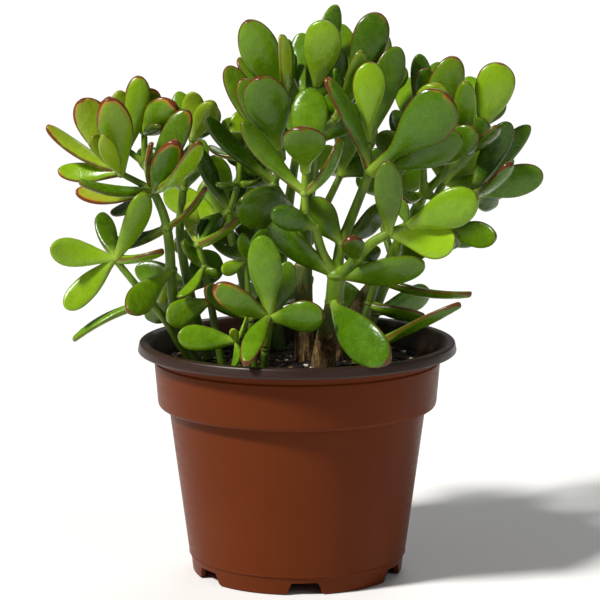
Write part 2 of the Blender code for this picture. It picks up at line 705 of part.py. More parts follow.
def notch_shape():
    """Returns the bmesh of one drainage notch: a flat-topped arch whose sides flare at the ground."""
    outline_xz = [
        (-NOTCH_MOUTH / 2, -2.0),
        (NOTCH_MOUTH / 2, -2.0),
        (NOTCH_MOUTH / 2, 0.0),
        (NOTCH_WIDTH / 2 + 2.0, 1.0),
        (NOTCH_WIDTH / 2 + 0.9, 2.6),
        (NOTCH_WIDTH / 2 - 0.3, NOTCH_HEIGHT),
        (0.3 - NOTCH_WIDTH / 2, NOTCH_HEIGHT),
        (-NOTCH_WIDTH / 2 - 0.9, 2.6),
        (-NOTCH_WIDTH / 2 - 2.0, 1.0),
        (-NOTCH_MOUTH / 2, 0.0),
    ]
    shape = bmesh.new()
    near = [shape.verts.new((x * MM, -4 * MM, z * MM)) for x, z in outline_xz]
    front = shape.faces.new(near)
    swept = bmesh.ops.extrude_face_region(shape, geom=[front])["geom"]
    far = [item for item in swept if isinstance(item, bmesh.types.BMVert)]
    bmesh.ops.translate(shape, verts=far, vec=(0, 8 * MM, 0))
    bmesh.ops.recalc_face_normals(shape, faces=shape.faces)
    return shape


def make_pot(group, cutters, material):
    """Returns the pot with its drainage notches and drain holes cut."""
    inner = BAND_RADIUS - WALL
    profile = [
        (0, FLOOR_TOP),
        (wall_radius(FLOOR_TOP) - WALL, FLOOR_TOP),
        (wall_radius(SHOULDER_HEIGHT) - WALL, SHOULDER_HEIGHT + 1),
        (inner - 0.6, BAND_HEIGHT + 2),
        (inner + 2.0, NECK_HEIGHT),
        (LIP_RADIUS - 7.0, POT_HEIGHT - 2.0),
        (LIP_RADIUS - 5.6, POT_HEIGHT - 0.2),
        (LIP_RADIUS - 2.4, POT_HEIGHT),
        (LIP_RADIUS - 0.6, POT_HEIGHT - 1.0),
        (LIP_RADIUS, POT_HEIGHT - 4.8),
        (LIP_RADIUS - 0.7, POT_HEIGHT - 5.6),
        (BAND_RADIUS + 2.4, NECK_HEIGHT + 4.4),
        (BAND_RADIUS + 1.6, NECK_HEIGHT + 0.9),
        (BAND_RADIUS + 2.2, NECK_HEIGHT + 0.2),
        (BAND_RADIUS + 0.3, BAND_HEIGHT),
        (BAND_RADIUS - 1.2, SHOULDER_HEIGHT + 2.2),
        (wall_radius(SHOULDER_HEIGHT) + 1.2, SHOULDER_HEIGHT + 0.4),
        (wall_radius(SHOULDER_HEIGHT), SHOULDER_HEIGHT - 0.6),
        (wall_radius(FOOT_HEIGHT), FOOT_HEIGHT),
        (FOOT_RADIUS + 1.0, FOOT_HEIGHT - 0.5),
        (FOOT_RADIUS, 0),
        (FOOT_RADIUS - 2.2, 0),
        (FOOT_RADIUS - 2.6, FLOOR_UNDERSIDE),
        (0, FLOOR_UNDERSIDE),
    ]
    pot = turned("pot", profile, group)
    for i in range(NOTCH_COUNT):
        angle = math.radians(NOTCH_TURN + i * 360 / NOTCH_COUNT)
        middle = Vector((math.sin(angle), -math.cos(angle), 0)) * (FOOT_RADIUS - 1) * MM
        shape = notch_shape()
        bmesh.ops.rotate(shape, verts=shape.verts, cent=(0, 0, 0), matrix=Matrix.Rotation(angle, 3, "Z"))
        bmesh.ops.translate(shape, verts=shape.verts, vec=middle)
        add_cutter(f"notch_{i + 1}", shape, cutters)
    for i in range(DRAIN_COUNT):
        angle = math.radians(NOTCH_TURN + (i + 0.5) * 360 / DRAIN_COUNT)
        middle = Vector((math.sin(angle) * DRAIN_CIRCLE, -math.cos(angle) * DRAIN_CIRCLE, FLOOR_TOP)) * MM
        shape = bmesh.new()
        bmesh.ops.create_cone(
            shape,
            cap_ends=True,
            segments=12,
            radius1=DRAIN_RADIUS * MM,
            radius2=DRAIN_RADIUS * MM,
            depth=8 * MM,
        )
        bmesh.ops.translate(shape, verts=shape.verts, vec=middle)
        add_cutter(f"drain_{i + 1}", shape, cutters)
    cut = pot.modifiers.new("cut_openings", "BOOLEAN")
    cut.operation = "DIFFERENCE"
    cut.operand_type = "COLLECTION"
    cut.collection = cutters
    cut.solver = "EXACT"
    pot.data.materials.append(material)
    return pot


def add_cutter(name, shape, group):
    """Turns a bmesh into a wire-drawn cutter object."""
    mesh = bpy.data.meshes.new(name)
    shape.to_mesh(mesh)
    shape.free()
    return as_helper(add_object(name, mesh, group))


def make_soil(group, sleeves, material):
    """Returns the soil, with a socket for each stem that stands in it."""
    floor = FLOOR_TOP + GAP
    slack = WALL + GAP
    profile = [
        (0, SOIL_TOP + 1.0),
        (SOIL_RADIUS * 0.5, SOIL_TOP + 0.4),
        (SOIL_RADIUS * 0.9, SOIL_TOP - 0.6),
        (SOIL_RADIUS, SOIL_TOP - 1.6),
        (BAND_RADIUS - slack - 0.8, BAND_HEIGHT + 2),
        (wall_radius(SHOULDER_HEIGHT) - slack, SHOULDER_HEIGHT + 0.6),
        (wall_radius(floor) - slack, floor),
        (0, floor),
    ]
    soil = turned("soil", profile, group)
    cut = soil.modifiers.new("stem_sockets", "BOOLEAN")
    cut.operation = "DIFFERENCE"
    cut.operand_type = "COLLECTION"
    cut.collection = sleeves
    cut.solver = "EXACT"
    soil.data.materials.append(material)
    return soil


def make_stem(stem, group, sleeves, material):
    """Returns one stem with its branches joined, and leaves its sleeve for what it passes through."""
    parts = []
    for i, (points, start, end) in enumerate(stem.runs):
        parts.append(tube(f"{stem.name}_run_{i + 1}", points, start, end, sleeves.loose))
        sleeves.add(stem.name, points, start, end)
    return fuse(stem.name, parts, sleeves.of_stem.get(stem.trunk), material, group)


class Sleeves:
    """The stems' cutters: each stem's shape grown by the gap that pieces keep."""

    def __init__(self):
        self.group = new_collection("stem_sleeves", helper=True)
        self.loose = new_collection("loose_parts", helper=True)
        self.of_stem = {}

    def add(self, name, points, start, end):
        """Adds the sleeve of one run to the group of its stem."""
        if name not in self.of_stem:
            own = bpy.data.collections.new(name + "_sleeves")
            own.hide_render = True
            self.group.children.link(own)
            self.of_stem[name] = own
        own = self.of_stem[name]
        tube(f"{name}_sleeve_{len(own.objects) + 1}", points, start, end, own, grow=GAP)


def make_cluster(cluster, group, sleeves, material):
    """Returns a cluster's leaves, joined by the ring at each joint and the shoot between them."""
    loose = sleeves.loose
    joints = [Vector(p) for p in cluster.joints]
    swell = cluster.radius + RING_SWELL
    parts = [ball(f"{cluster.name}_ring_{i + 1}", p, swell, loose) for i, p in enumerate(joints)]
    links = cluster.links or [(i, i + 1) for i in range(len(joints) - 1)]
    for i, (first, last) in enumerate(links):
        run = [joints[first], joints[last]]
        parts.append(tube(f"{cluster.name}_shoot_{i + 1}", run, cluster.radius, cluster.radius * 0.85, loose))
    for i, leaf in enumerate(cluster.leaves):
        parts.append(leaf_solid(f"{cluster.name}_{i + 1}", joints[leaf.joint], leaf, loose))
    result = fuse(cluster.name, parts, sleeves.group, material, group)
    if joints[0].z < SOIL_TOP:
        root = joints[0] + (joints[0] - joints[1]).normalized() * swell
        sleeves.add(cluster.name, [root, joints[1]], swell, swell)
    return result


def main():
    clear_scene()
    plant = new_collection("potted_jade_plant")
    cutters = new_collection("pot_cutters", helper=True)
    finishes = {name: make_material(name) for name in COLOURS}
    sleeves = Sleeves()
    for stem in STEMS:
        make_stem(stem, plant, sleeves, finishes[stem.finish])
    settle_leaves(CLUSTERS)
    for cluster in CLUSTERS:
        make_cluster(cluster, plant, sleeves, finishes["leaf"])
    make_pot(plant, cutters, finishes["terracotta_plastic"])
    make_soil(plant, sleeves.group, finishes["potting_soil"])


main()
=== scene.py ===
"""Potted jade plant in a moulded grower's pot.

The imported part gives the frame: +Z up, the origin under the pot's axis and the front towards -Y.
Design values are in millimetres and become metres where a mesh is made. Each stem, each group of
leaves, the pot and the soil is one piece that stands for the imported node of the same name.
"""

import json
import logging
import math
from dataclasses import dataclass, field
from enum import Enum
from typing import ClassVar

import bmesh
import bpy
import numpy as np
from mathutils import Matrix, Quaternion, Vector, kdtree, noise

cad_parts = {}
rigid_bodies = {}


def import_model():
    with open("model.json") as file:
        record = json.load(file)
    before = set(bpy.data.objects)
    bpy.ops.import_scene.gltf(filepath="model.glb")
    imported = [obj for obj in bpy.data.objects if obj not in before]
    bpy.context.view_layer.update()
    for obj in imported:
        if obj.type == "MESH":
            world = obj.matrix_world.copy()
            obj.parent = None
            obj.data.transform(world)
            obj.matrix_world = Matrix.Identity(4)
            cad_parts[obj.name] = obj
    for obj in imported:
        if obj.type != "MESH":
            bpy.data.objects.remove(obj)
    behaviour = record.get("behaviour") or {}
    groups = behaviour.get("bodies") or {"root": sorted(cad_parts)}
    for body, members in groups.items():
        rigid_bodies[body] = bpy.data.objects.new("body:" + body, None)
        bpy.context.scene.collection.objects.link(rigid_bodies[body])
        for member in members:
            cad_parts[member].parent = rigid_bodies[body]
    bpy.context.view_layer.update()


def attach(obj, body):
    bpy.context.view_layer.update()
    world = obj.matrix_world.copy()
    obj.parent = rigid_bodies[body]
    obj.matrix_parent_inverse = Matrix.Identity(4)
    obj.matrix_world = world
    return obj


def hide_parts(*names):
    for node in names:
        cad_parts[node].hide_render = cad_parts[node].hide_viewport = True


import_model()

LOG = logging.getLogger("potted_jade_plant")
MM = 0.001
BODY = "root"
# A Mix node's sockets when it mixes colours: the lower colour, the upper one and the result.
UNDER, OVER, MIXED = 6, 7, 2
Point = tuple[float, float, float]


def linear(code: str) -> tuple[float, float, float, float]:
    """Turns an sRGB hex colour into linear light.

    Args:
        code: Six hex digits, with or without a leading hash.

    Returns:
        Linear red, green and blue with an alpha of one.
    """
    digits = code.lstrip("#")
    channels = []
    for i in (0, 2, 4):
        value = int(digits[i : i + 2], 16) / 255
        channels.append(value / 12.92 if value <= 0.04045 else ((value + 0.055) / 1.055) ** 2.4)
    return (*channels, 1.0)


def feed(node: bpy.types.Node, links: dict | tuple) -> None:
    """Gives a node's inputs their values.

    Args:
        node: The node.
        links: By the inputs' names or numbers, or in their order: plain values, hex colours, or
            the output sockets that feed them.
    """
    for name, value in links.items() if isinstance(links, dict) else enumerate(links):
        if isinstance(value, bpy.types.NodeSocket):
            node.id_data.links.new(value, node.inputs[name])
        else:
            node.inputs[name].default_value = linear(value) if isinstance(value, str) else value


def add(
    tree: bpy.types.NodeTree,
    kind: str,
    links: dict | tuple = (),
    out: int | str = 0,
    stops: tuple = (),
    **settings,
) -> bpy.types.NodeSocket:
    """Adds one shader node.

    Args:
        tree: The material's node tree.
        kind: The node's class, without the leading ShaderNode.
        links: What its inputs get, as feed takes it.
        out: Which of its outputs to give back.
        stops: A colour ramp's places from low to high, each with its hex colour.
        **settings: The node's own properties.

    Returns:
        The chosen output's socket.
    """
    node = tree.nodes.new("ShaderNode" + kind)
    for name, value in settings.items():
        setattr(node, name, value)
    feed(node, links)
    for i, (place, code) in enumerate(stops):
        bar = node.color_ramp.elements
        element = bar[i] if i < 2 else bar.new(place)
        element.position, element.color = place, linear(code)
    return node.outputs[out]


@dataclass(frozen=True)
class Finish:
    """What every finish has: its name, its Principled numbers and how much it gleams."""

    name: str
    roughness: float
    ior: float = 1.5
    gleam: float = 0.5

    def start(self) -> tuple[bpy.types.Material, bpy.types.NodeTree, bpy.types.Node]:
        """Returns a new material with its tree and its Principled shader."""
        material = bpy.data.materials.new(self.name)
        material.use_nodes = True
        shader = material.node_tree.nodes["Principled BSDF"]
        feed(shader, {"Roughness": self.roughness, "IOR": self.ior, "Specular IOR Level": self.gleam})
        return material, material.node_tree, shader


@dataclass(frozen=True)
class WaxyLeaf(Finish):
    """Jade leaf skin: smooth wax over juicy tissue, so lamps glide on it in broad soft patches.

    The mesh carries where each point lies on its blade and how its own leaf is tinted, with painted shade on
    leaves that sit in shadow and painted light on leaves that face the lamp. The pores
    are drawn twice as wide as the real ones, so that they show.
    """

    name: str = "jade_leaf_waxy_skin"
    roughness: float = 0.25
    ior: float = 1.45
    gleam: float = 0.24
    shaded: str = "#183202"
    middle: str = "#487004"
    lit: str = "#80ac0a"
    yellowed: str = "#b9b93a"
    underside: str = "#577c10"
    stalk: str = "#9bb83e"
    rim: str = "#5f2412"
    halo: str = "#c9792c"
    pore_mm: float = 1.3
    mottle_mm: float = 6.0
    flush_mm: float = 9.0
    dimple_mm: float = 5.0
    dimple_depth_mm: float = 0.9
    grain_mm: float = 0.8
    grain_depth_mm: float = 0.14
    rim_mm: float = 3.2
    tissue_mm: float = 2.2
    glow: float = 0.10
    wax: float = 0.24
    wax_roughness: float = 0.18

    def make(self) -> bpy.types.Material:
        """Returns the leaf material."""
        material, tree, shader = self.start()
        place = add(tree, "SeparateColor", (add(tree, "Attribute", attribute_name="leaf_place"),)).node
        tint = add(tree, "SeparateColor", (add(tree, "Attribute", attribute_name="leaf_tint"),)).node
        along, rim_near, upper = place.outputs[0], place.outputs[1], place.outputs[2]
        shade, yellow, red = tint.outputs[0], tint.outputs[1], tint.outputs[2]
        where = add(tree, "TexCoord", out="Object")

        # Green: each leaf's shade, partly its own tone and partly painted shade on leaves in shadow and
        # painted light on leaves facing the lamp, mottled, with yellowing, a paler underside, pores and foot.
        scale = 1 / (self.mottle_mm * MM)
        mottle = add(tree, "TexNoise", {"Vector": where, "Scale": scale, "Detail": 4.0, "Roughness": 0.6})
        uneven = add(tree, "Math", (mottle, 0.36), operation="MULTIPLY")
        tone = add(tree, "Math", (uneven, shade), operation="ADD")
        tone = add(tree, "Math", (tone, 0.18), operation="SUBTRACT")
        # Painted shade and painted light: the ramp runs from a shaded to a lit green by each leaf's shade
        # value.
        greens = ((0.08, self.shaded), (0.5, self.middle), (0.92, self.lit))
        colour = add(tree, "ValToRGB", (tone,), stops=greens)
        yellowing = add(tree, "Math", (yellow, 0.85), operation="MULTIPLY")
        colour = add(tree, "Mix", {0: yellowing, UNDER: colour, OVER: self.yellowed}, MIXED, data_type="RGBA")
        under = add(tree, "Math", (1.0, upper), operation="SUBTRACT")
        paler = add(tree, "Math", (under, 0.22), operation="MULTIPLY")
        colour = add(tree, "Mix", {0: paler, UNDER: colour, OVER: self.underside}, MIXED, data_type="RGBA")
        pores = add(tree, "TexVoronoi", {"Vector": where, "Scale": 1 / (self.pore_mm * MM)}, feature="F1")
        dots = add(tree, "MapRange", (pores, 0.1, 0.4, 0.15, 0.0))
        colour = add(tree, "Mix", {0: dots, UNDER: colour, OVER: self.stalk}, MIXED, data_type="RGBA")
        foot = add(tree, "MapRange", (along, 0.02, 0.3, 0.75, 0.0))
        colour = add(tree, "Mix", {0: foot, UNDER: colour, OVER: self.stalk}, MIXED, data_type="RGBA")

        # Red: patches of the margin that the sun has reached, with an orange glow just inside them.
        patchy = add(tree, "TexNoise", {"Vector": where, "Scale": 1 / (self.flush_mm * MM), "Detail": 3.0})
        flushed = add(tree, "MapRange", (patchy, 0.2, 0.55, 0.0, 1.0), interpolation_type="SMOOTHSTEP")
        tipward = add(tree, "MapRange", (along, 0.35, 0.95, 0.35, 1.0))
        reached = add(tree, "Math", (tipward, flushed), operation="MULTIPLY")
        sunned = add(tree, "Math", (red, reached), operation="MULTIPLY")
        inner = add(tree, "MapRange", (rim_near, 0.1, 0.8, 0.0, 1.0), interpolation_type="SMOOTHSTEP")
        strong = add(tree, "MapRange", (sunned, 0.5, 0.9, 0.0, 1.0), interpolation_type="SMOOTHSTEP")
        halo = add(tree, "Math", (inner, strong), operation="MULTIPLY")
        colour = add(tree, "Mix", {0: halo, UNDER: colour, OVER: self.halo}, MIXED, data_type="RGBA")
        spread = add(tree, "Math", (sunned, 0.42), operation="MULTIPLY")
        reach = add(tree, "Math", (spread, rim_near), operation="ADD")
        edge = add(tree, "MapRange", (reach, 0.88, 1.12, 0.0, 0.9), interpolation_type="SMOOTHSTEP")
        any_red = add(tree, "MapRange", (red, 0.0, 0.3, 0.0, 1.0), interpolation_type="SMOOTHSTEP")
        rim = add(tree, "Math", (edge, any_red), operation="MULTIPLY")
        colour = add(tree, "Mix", {0: rim, UNDER: colour, OVER: self.rim}, MIXED, data_type="RGBA")

        # Skin: uneven wax, shallow dimples and a fine grain.
        gloss = add(tree, "MapRange", (mottle, 0.3, 0.7, self.roughness - 0.07, self.roughness + 0.1))
        fine = {"Vector": where, "Scale": 1 / (self.grain_mm * MM), "Detail": 3.0, "Roughness": 0.6}
        grain = add(tree, "TexNoise", fine)
        relief = add(tree, "Math", (pores, grain), operation="ADD")
        dimple = add(tree, "TexNoise", {"Vector": where, "Scale": 1 / (self.dimple_mm * MM), "Detail": 2.0})
        deep = self.dimple_depth_mm * MM
        soft = add(tree, "Bump", {"Height": dimple, "Strength": 0.5, "Distance": deep})
        shallow = self.grain_depth_mm * MM
        bump = add(tree, "Bump", {"Height": relief, "Normal": soft, "Strength": 0.35, "Distance": shallow})
        feed(shader, {
            "Base Color": colour,
            "Roughness": gloss,
            "Subsurface Weight": self.glow,
            "Subsurface Radius": (0.4, 1.0, 0.15),
            "Subsurface Scale": self.tissue_mm * MM,
            "Coat Weight": self.wax,
            "Coat Roughness": self.wax_roughness,
            "Normal": bump,
        })
        return material


@dataclass(frozen=True)
class GreenShoot(Finish):
    """Young jade stem: juicy and smooth, paler at the rings where leaves stood, faintly ribbed.

    It is painted darker from the upper height down to the lower one, near the soil: partly painted shade
    where the foliage shades the stem, partly the duller skin of the older stem there.
    """

    name: str = "young_stem_smooth_skin"
    roughness: float = 0.42
    ior: float = 1.42
    shaded: str = "#35500a"
    middle: str = "#618010"
    lit: str = "#84a01c"
    ring: str = "#a9b566"
    low_stem_shade: str = "#2a3a0a"
    scar: str = "#7d5b36"
    fleck_mm: float = 5.0
    rib_mm: float = 1.2
    rib_depth_mm: float = 0.2
    stretch: float = 0.25
    shade_below_mm: float = 112.0
    shade_above_mm: float = 165.0
    tissue_mm: float = 2.0
    glow: float = 0.1

    def make(self) -> bpy.types.Material:
        """Returns the green stem material."""
        material, tree, shader = self.start()
        place = add(tree, "SeparateColor", (add(tree, "Attribute", attribute_name="stem_place"),)).node
        ring_near = place.outputs[1]
        where = add(tree, "TexCoord", out="Object")
        long = add(tree, "Mapping", {"Vector": where, "Scale": (1.0, 1.0, self.stretch)})
        scale = 1 / (self.fleck_mm * MM)
        flecks = add(tree, "TexNoise", {"Vector": long, "Scale": scale, "Detail": 5.0, "Roughness": 0.62})
        greens = ((0.25, self.shaded), (0.5, self.middle), (0.75, self.lit))
        colour = add(tree, "ValToRGB", (flecks,), stops=greens)
        # Painted shade: the stem darkens towards the soil, where the leaves above shade it; the older stem is
        # also duller.
        height = add(tree, "SeparateXYZ", (where,), 2)
        low = add(tree, "MapRange", (height, self.shade_below_mm * MM, self.shade_above_mm * MM, 0.75, 0.0))
        colour = add(tree, "Mix", {0: low, UNDER: colour, OVER: self.low_stem_shade}, MIXED, data_type="RGBA")
        pale = add(tree, "MapRange", (ring_near, 0.25, 0.8, 0.0, 0.6), interpolation_type="SMOOTHSTEP")
        colour = add(tree, "Mix", {0: pale, UNDER: colour, OVER: self.ring}, MIXED, data_type="RGBA")
        scar = add(tree, "MapRange", (ring_near, 0.86, 0.98, 0.0, 0.7), interpolation_type="SMOOTHSTEP")
        colour = add(tree, "Mix", {0: scar, UNDER: colour, OVER: self.scar}, MIXED, data_type="RGBA")
        ribs = add(tree, "TexNoise", {"Vector": long, "Scale": 1 / (self.rib_mm * MM), "Detail": 3.0})
        bump = add(tree, "Bump", {"Height": ribs, "Strength": 0.3, "Distance": self.rib_depth_mm * MM})
        feed(shader, {
            "Base Color": colour,
            "Subsurface Weight": self.glow,
            "Subsurface Radius": (0.5, 1.0, 0.2),
            "Subsurface Scale": self.tissue_mm * MM,
            "Normal": bump,
        })
        return material


@dataclass(frozen=True)
class TrunkBark(Finish):
    """Old jade stem: corky skin split lengthwise over green, dry and light-brown where it has peeled."""

    name: str = "old_stem_corky_bark"
    roughness: float = 0.78
    ior: float = 1.45
    crack: str = "#21170c"
    cork: str = "#5e4522"
    worn: str = "#9c7e48"
    living: str = "#4c6420"
    ring: str = "#a5935c"
    split_mm: float = 1.3
    split_depth_mm: float = 0.8
    patch_mm: float = 7.0
    stretch: float = 0.24

    def make(self) -> bpy.types.Material:
        """Returns the bark material."""
        material, tree, shader = self.start()
        place = add(tree, "SeparateColor", (add(tree, "Attribute", attribute_name="stem_place"),)).node
        along, ring_near = place.outputs[0], place.outputs[1]
        where = add(tree, "TexCoord", out="Object")
        long = add(tree, "Mapping", {"Vector": where, "Scale": (1.0, 1.0, self.stretch)})
        cracks = {"Vector": long, "Scale": 1 / (self.split_mm * MM), "Detail": 6.0, "Roughness": 0.65}
        splits = add(tree, "TexNoise", {**cracks, "Distortion": 0.9})
        browns = ((0.36, self.crack), (0.5, self.cork), (0.66, self.worn))
        colour = add(tree, "ValToRGB", (splits,), stops=browns)
        patches = add(tree, "TexNoise", {"Vector": where, "Scale": 1 / (self.patch_mm * MM), "Detail": 3.0})
        height = add(tree, "Math", (along, patches), operation="ADD")
        green = add(tree, "MapRange", (height, 0.95, 1.35, 0.0, 0.85), interpolation_type="SMOOTHSTEP")
        colour = add(tree, "Mix", {0: green, UNDER: colour, OVER: self.living}, MIXED, data_type="RGBA")
        pale = add(tree, "MapRange", (ring_near, 0.3, 0.85, 0.0, 0.75), interpolation_type="SMOOTHSTEP")
        colour = add(tree, "Mix", {0: pale, UNDER: colour, OVER: self.ring}, MIXED, data_type="RGBA")
        bump = add(tree, "Bump", {"Height": splits, "Strength": 0.75, "Distance": self.split_depth_mm * MM})
        feed(shader, {"Base Color": colour, "Normal": bump})
        return material


@dataclass(frozen=True)
class MouldedPolypropylene(Finish):
    """Injection-moulded polypropylene: satin, with a faint orange-peel and hairline scuffs."""

    name: str = "pot_body_moulded_polypropylene"
    roughness: float = 0.34
    ior: float = 1.49
    gleam: float = 0.07
    colour: str = "#612b0f"
    deep: str = "#5d280d"
    scuff: str = "#7f4128"
    cloud_mm: float = 45.0
    scuff_mm: float = 12.0
    scuff_squeeze: float = 7.0
    dust_mm: float = 2.2
    peel_mm: float = 3.0
    peel_depth_mm: float = 0.15

    def make(self) -> bpy.types.Material:
        """Returns the plastic material."""
        material, tree, shader = self.start()
        where = add(tree, "TexCoord", out="Object")
        cloud = add(tree, "TexNoise", {"Vector": where, "Scale": 1 / (self.cloud_mm * MM), "Detail": 3.0})
        colour = add(tree, "ValToRGB", (cloud,), stops=((0.35, self.deep), (0.65, self.colour)))
        flat = add(tree, "Mapping", {"Vector": where, "Scale": (1.0, 1.0, self.scuff_squeeze)})
        scale = 1 / (self.scuff_mm * MM)
        lines = add(tree, "TexNoise", {"Vector": flat, "Scale": scale, "Detail": 8.0, "Roughness": 0.7})
        scuffs = add(tree, "MapRange", (lines, 0.62, 0.78, 0.0, 0.22), interpolation_type="SMOOTHSTEP")
        colour = add(tree, "Mix", {0: scuffs, UNDER: colour, OVER: self.scuff}, MIXED, data_type="RGBA")
        dust = add(tree, "TexNoise", {"Vector": where, "Scale": 1 / (self.dust_mm * MM), "Detail": 2.0})
        specks = add(tree, "MapRange", (dust, 0.72, 0.8, 0.0, 0.35), interpolation_type="SMOOTHSTEP")
        colour = add(tree, "Mix", {0: specks, UNDER: colour, OVER: self.scuff}, MIXED, data_type="RGBA")
        gloss = add(tree, "MapRange", (lines, 0.3, 0.75, self.roughness - 0.04, self.roughness + 0.14))
        peel = add(tree, "TexNoise", {"Vector": where, "Scale": 1 / (self.peel_mm * MM), "Detail": 2.0})
        bump = add(tree, "Bump", {"Height": peel, "Strength": 0.12, "Distance": self.peel_depth_mm * MM})
        feed(shader, {"Base Color": colour, "Roughness": gloss, "Normal": bump})
        return material


@dataclass(frozen=True)
class PeatSoil(Finish):
    """Potting mix: damp peat and composted bark, nearly black, with a fibrous broken surface."""

    name: str = "potting_mix_damp_peat"
    roughness: float = 0.93
    ior: float = 1.33
    damp: str = "#120c08"
    peat: str = "#20150d"
    fibre: str = "#3c2a1a"
    crumb_mm: float = 2.2
    crumb_depth_mm: float = 1.6

    def make(self) -> bpy.types.Material:
        """Returns the soil material."""
        material, tree, shader = self.start()
        where = add(tree, "TexCoord", out="Object")
        scale = 1 / (self.crumb_mm * MM)
        crumbs = add(tree, "TexNoise", {"Vector": where, "Scale": scale, "Detail": 8.0, "Roughness": 0.72})
        browns = ((0.38, self.damp), (0.56, self.peat), (0.72, self.fibre))
        colour = add(tree, "ValToRGB", (crumbs,), stops=browns)
        bump = add(tree, "Bump", {"Height": crumbs, "Strength": 1.0, "Distance": self.crumb_depth_mm * MM})
        feed(shader, {"Base Color": colour, "Normal": bump})
        return material


@dataclass(frozen=True)
class Granule(Finish):
    """Loose bits on the soil: one colour with fine pits."""

    name: str = "perlite_puffed_granule"
    roughness: float = 0.85
    light: str = "#cfc8b4"
    dark: str = "#8f8672"
    pit_mm: float = 0.5
    pit_depth_mm: float = 0.3

    def make(self) -> bpy.types.Material:
        """Returns the granule material."""
        material, tree, shader = self.start()
        where = add(tree, "TexCoord", out="Object")
        pits = add(tree, "TexNoise", {"Vector": where, "Scale": 1 / (self.pit_mm * MM), "Detail": 4.0})
        colour = add(tree, "ValToRGB", (pits,), stops=((0.35, self.dark), (0.6, self.light)))
        bump = add(tree, "Bump", {"Height": pits, "Strength": 0.5, "Distance": self.pit_depth_mm * MM})
        feed(shader, {"Base Color": colour, "Normal": bump})
        return material


class Tone(Enum):
    """How a leaf's green looks: how dark or bright it is, partly its own tone and partly painted shade on
    leaves that sit in shadow and painted light on leaves that face the lamp, and how far it has yellowed.
    """

    FRESH = (0.62, 0.03)
    BRIGHT = (0.84, 0.1)
    LIME = (0.9, 0.38)
    DEEP = (0.44, 0.0)
    SHADY = (0.2, 0.0)
    YELLOW = (0.8, 0.75)


class Skin(Enum):
    """What covers a stem: bark or young green skin, each with a short name."""

    BARK = "bark"
    GREEN = "stem"


class Rim(Enum):
    """How strongly a leaf's margin has reddened in the sun."""

    PLAIN = 0.0
    FAINT = 0.2
    BROWN = 0.42
    RED = 0.62
    SUNNED = 1.0


@dataclass
class Leaf:
    """A leaf from a joint of its cluster to a tip, turned about its own length.

    Args:
        joint: Which of the cluster's joints it grows from.
        tip: Where it ends.
        width: Across its widest place.
        turn: Degrees rolled about its length, away from facing the front.
        arch: How far its middle hangs under the chord, as a share of its length.
        tone: Its green, which also holds painted shade for leaves in shadow and painted light for leaves
            facing the lamp.
        rim: Its margin.
        stalk: How much of its length is a narrow stalk.
    """

    joint: int
    tip: Point
    width: float
    turn: float = 0.0
    arch: float = 0.07
    tone: Tone = Tone.FRESH
    rim: Rim = Rim.FAINT
    stalk: float = 0.0


@dataclass
class Stem:
    """A stem and its branches: runs of points with the radius at each end."""

    name: str
    skin: Skin
    runs: list


@dataclass
class Cluster:
    """Leaves round one or more joints, with the soft shoot that links the joints."""

    name: str
    joints: list
    radius: float
    leaves: list
    links: tuple = ()


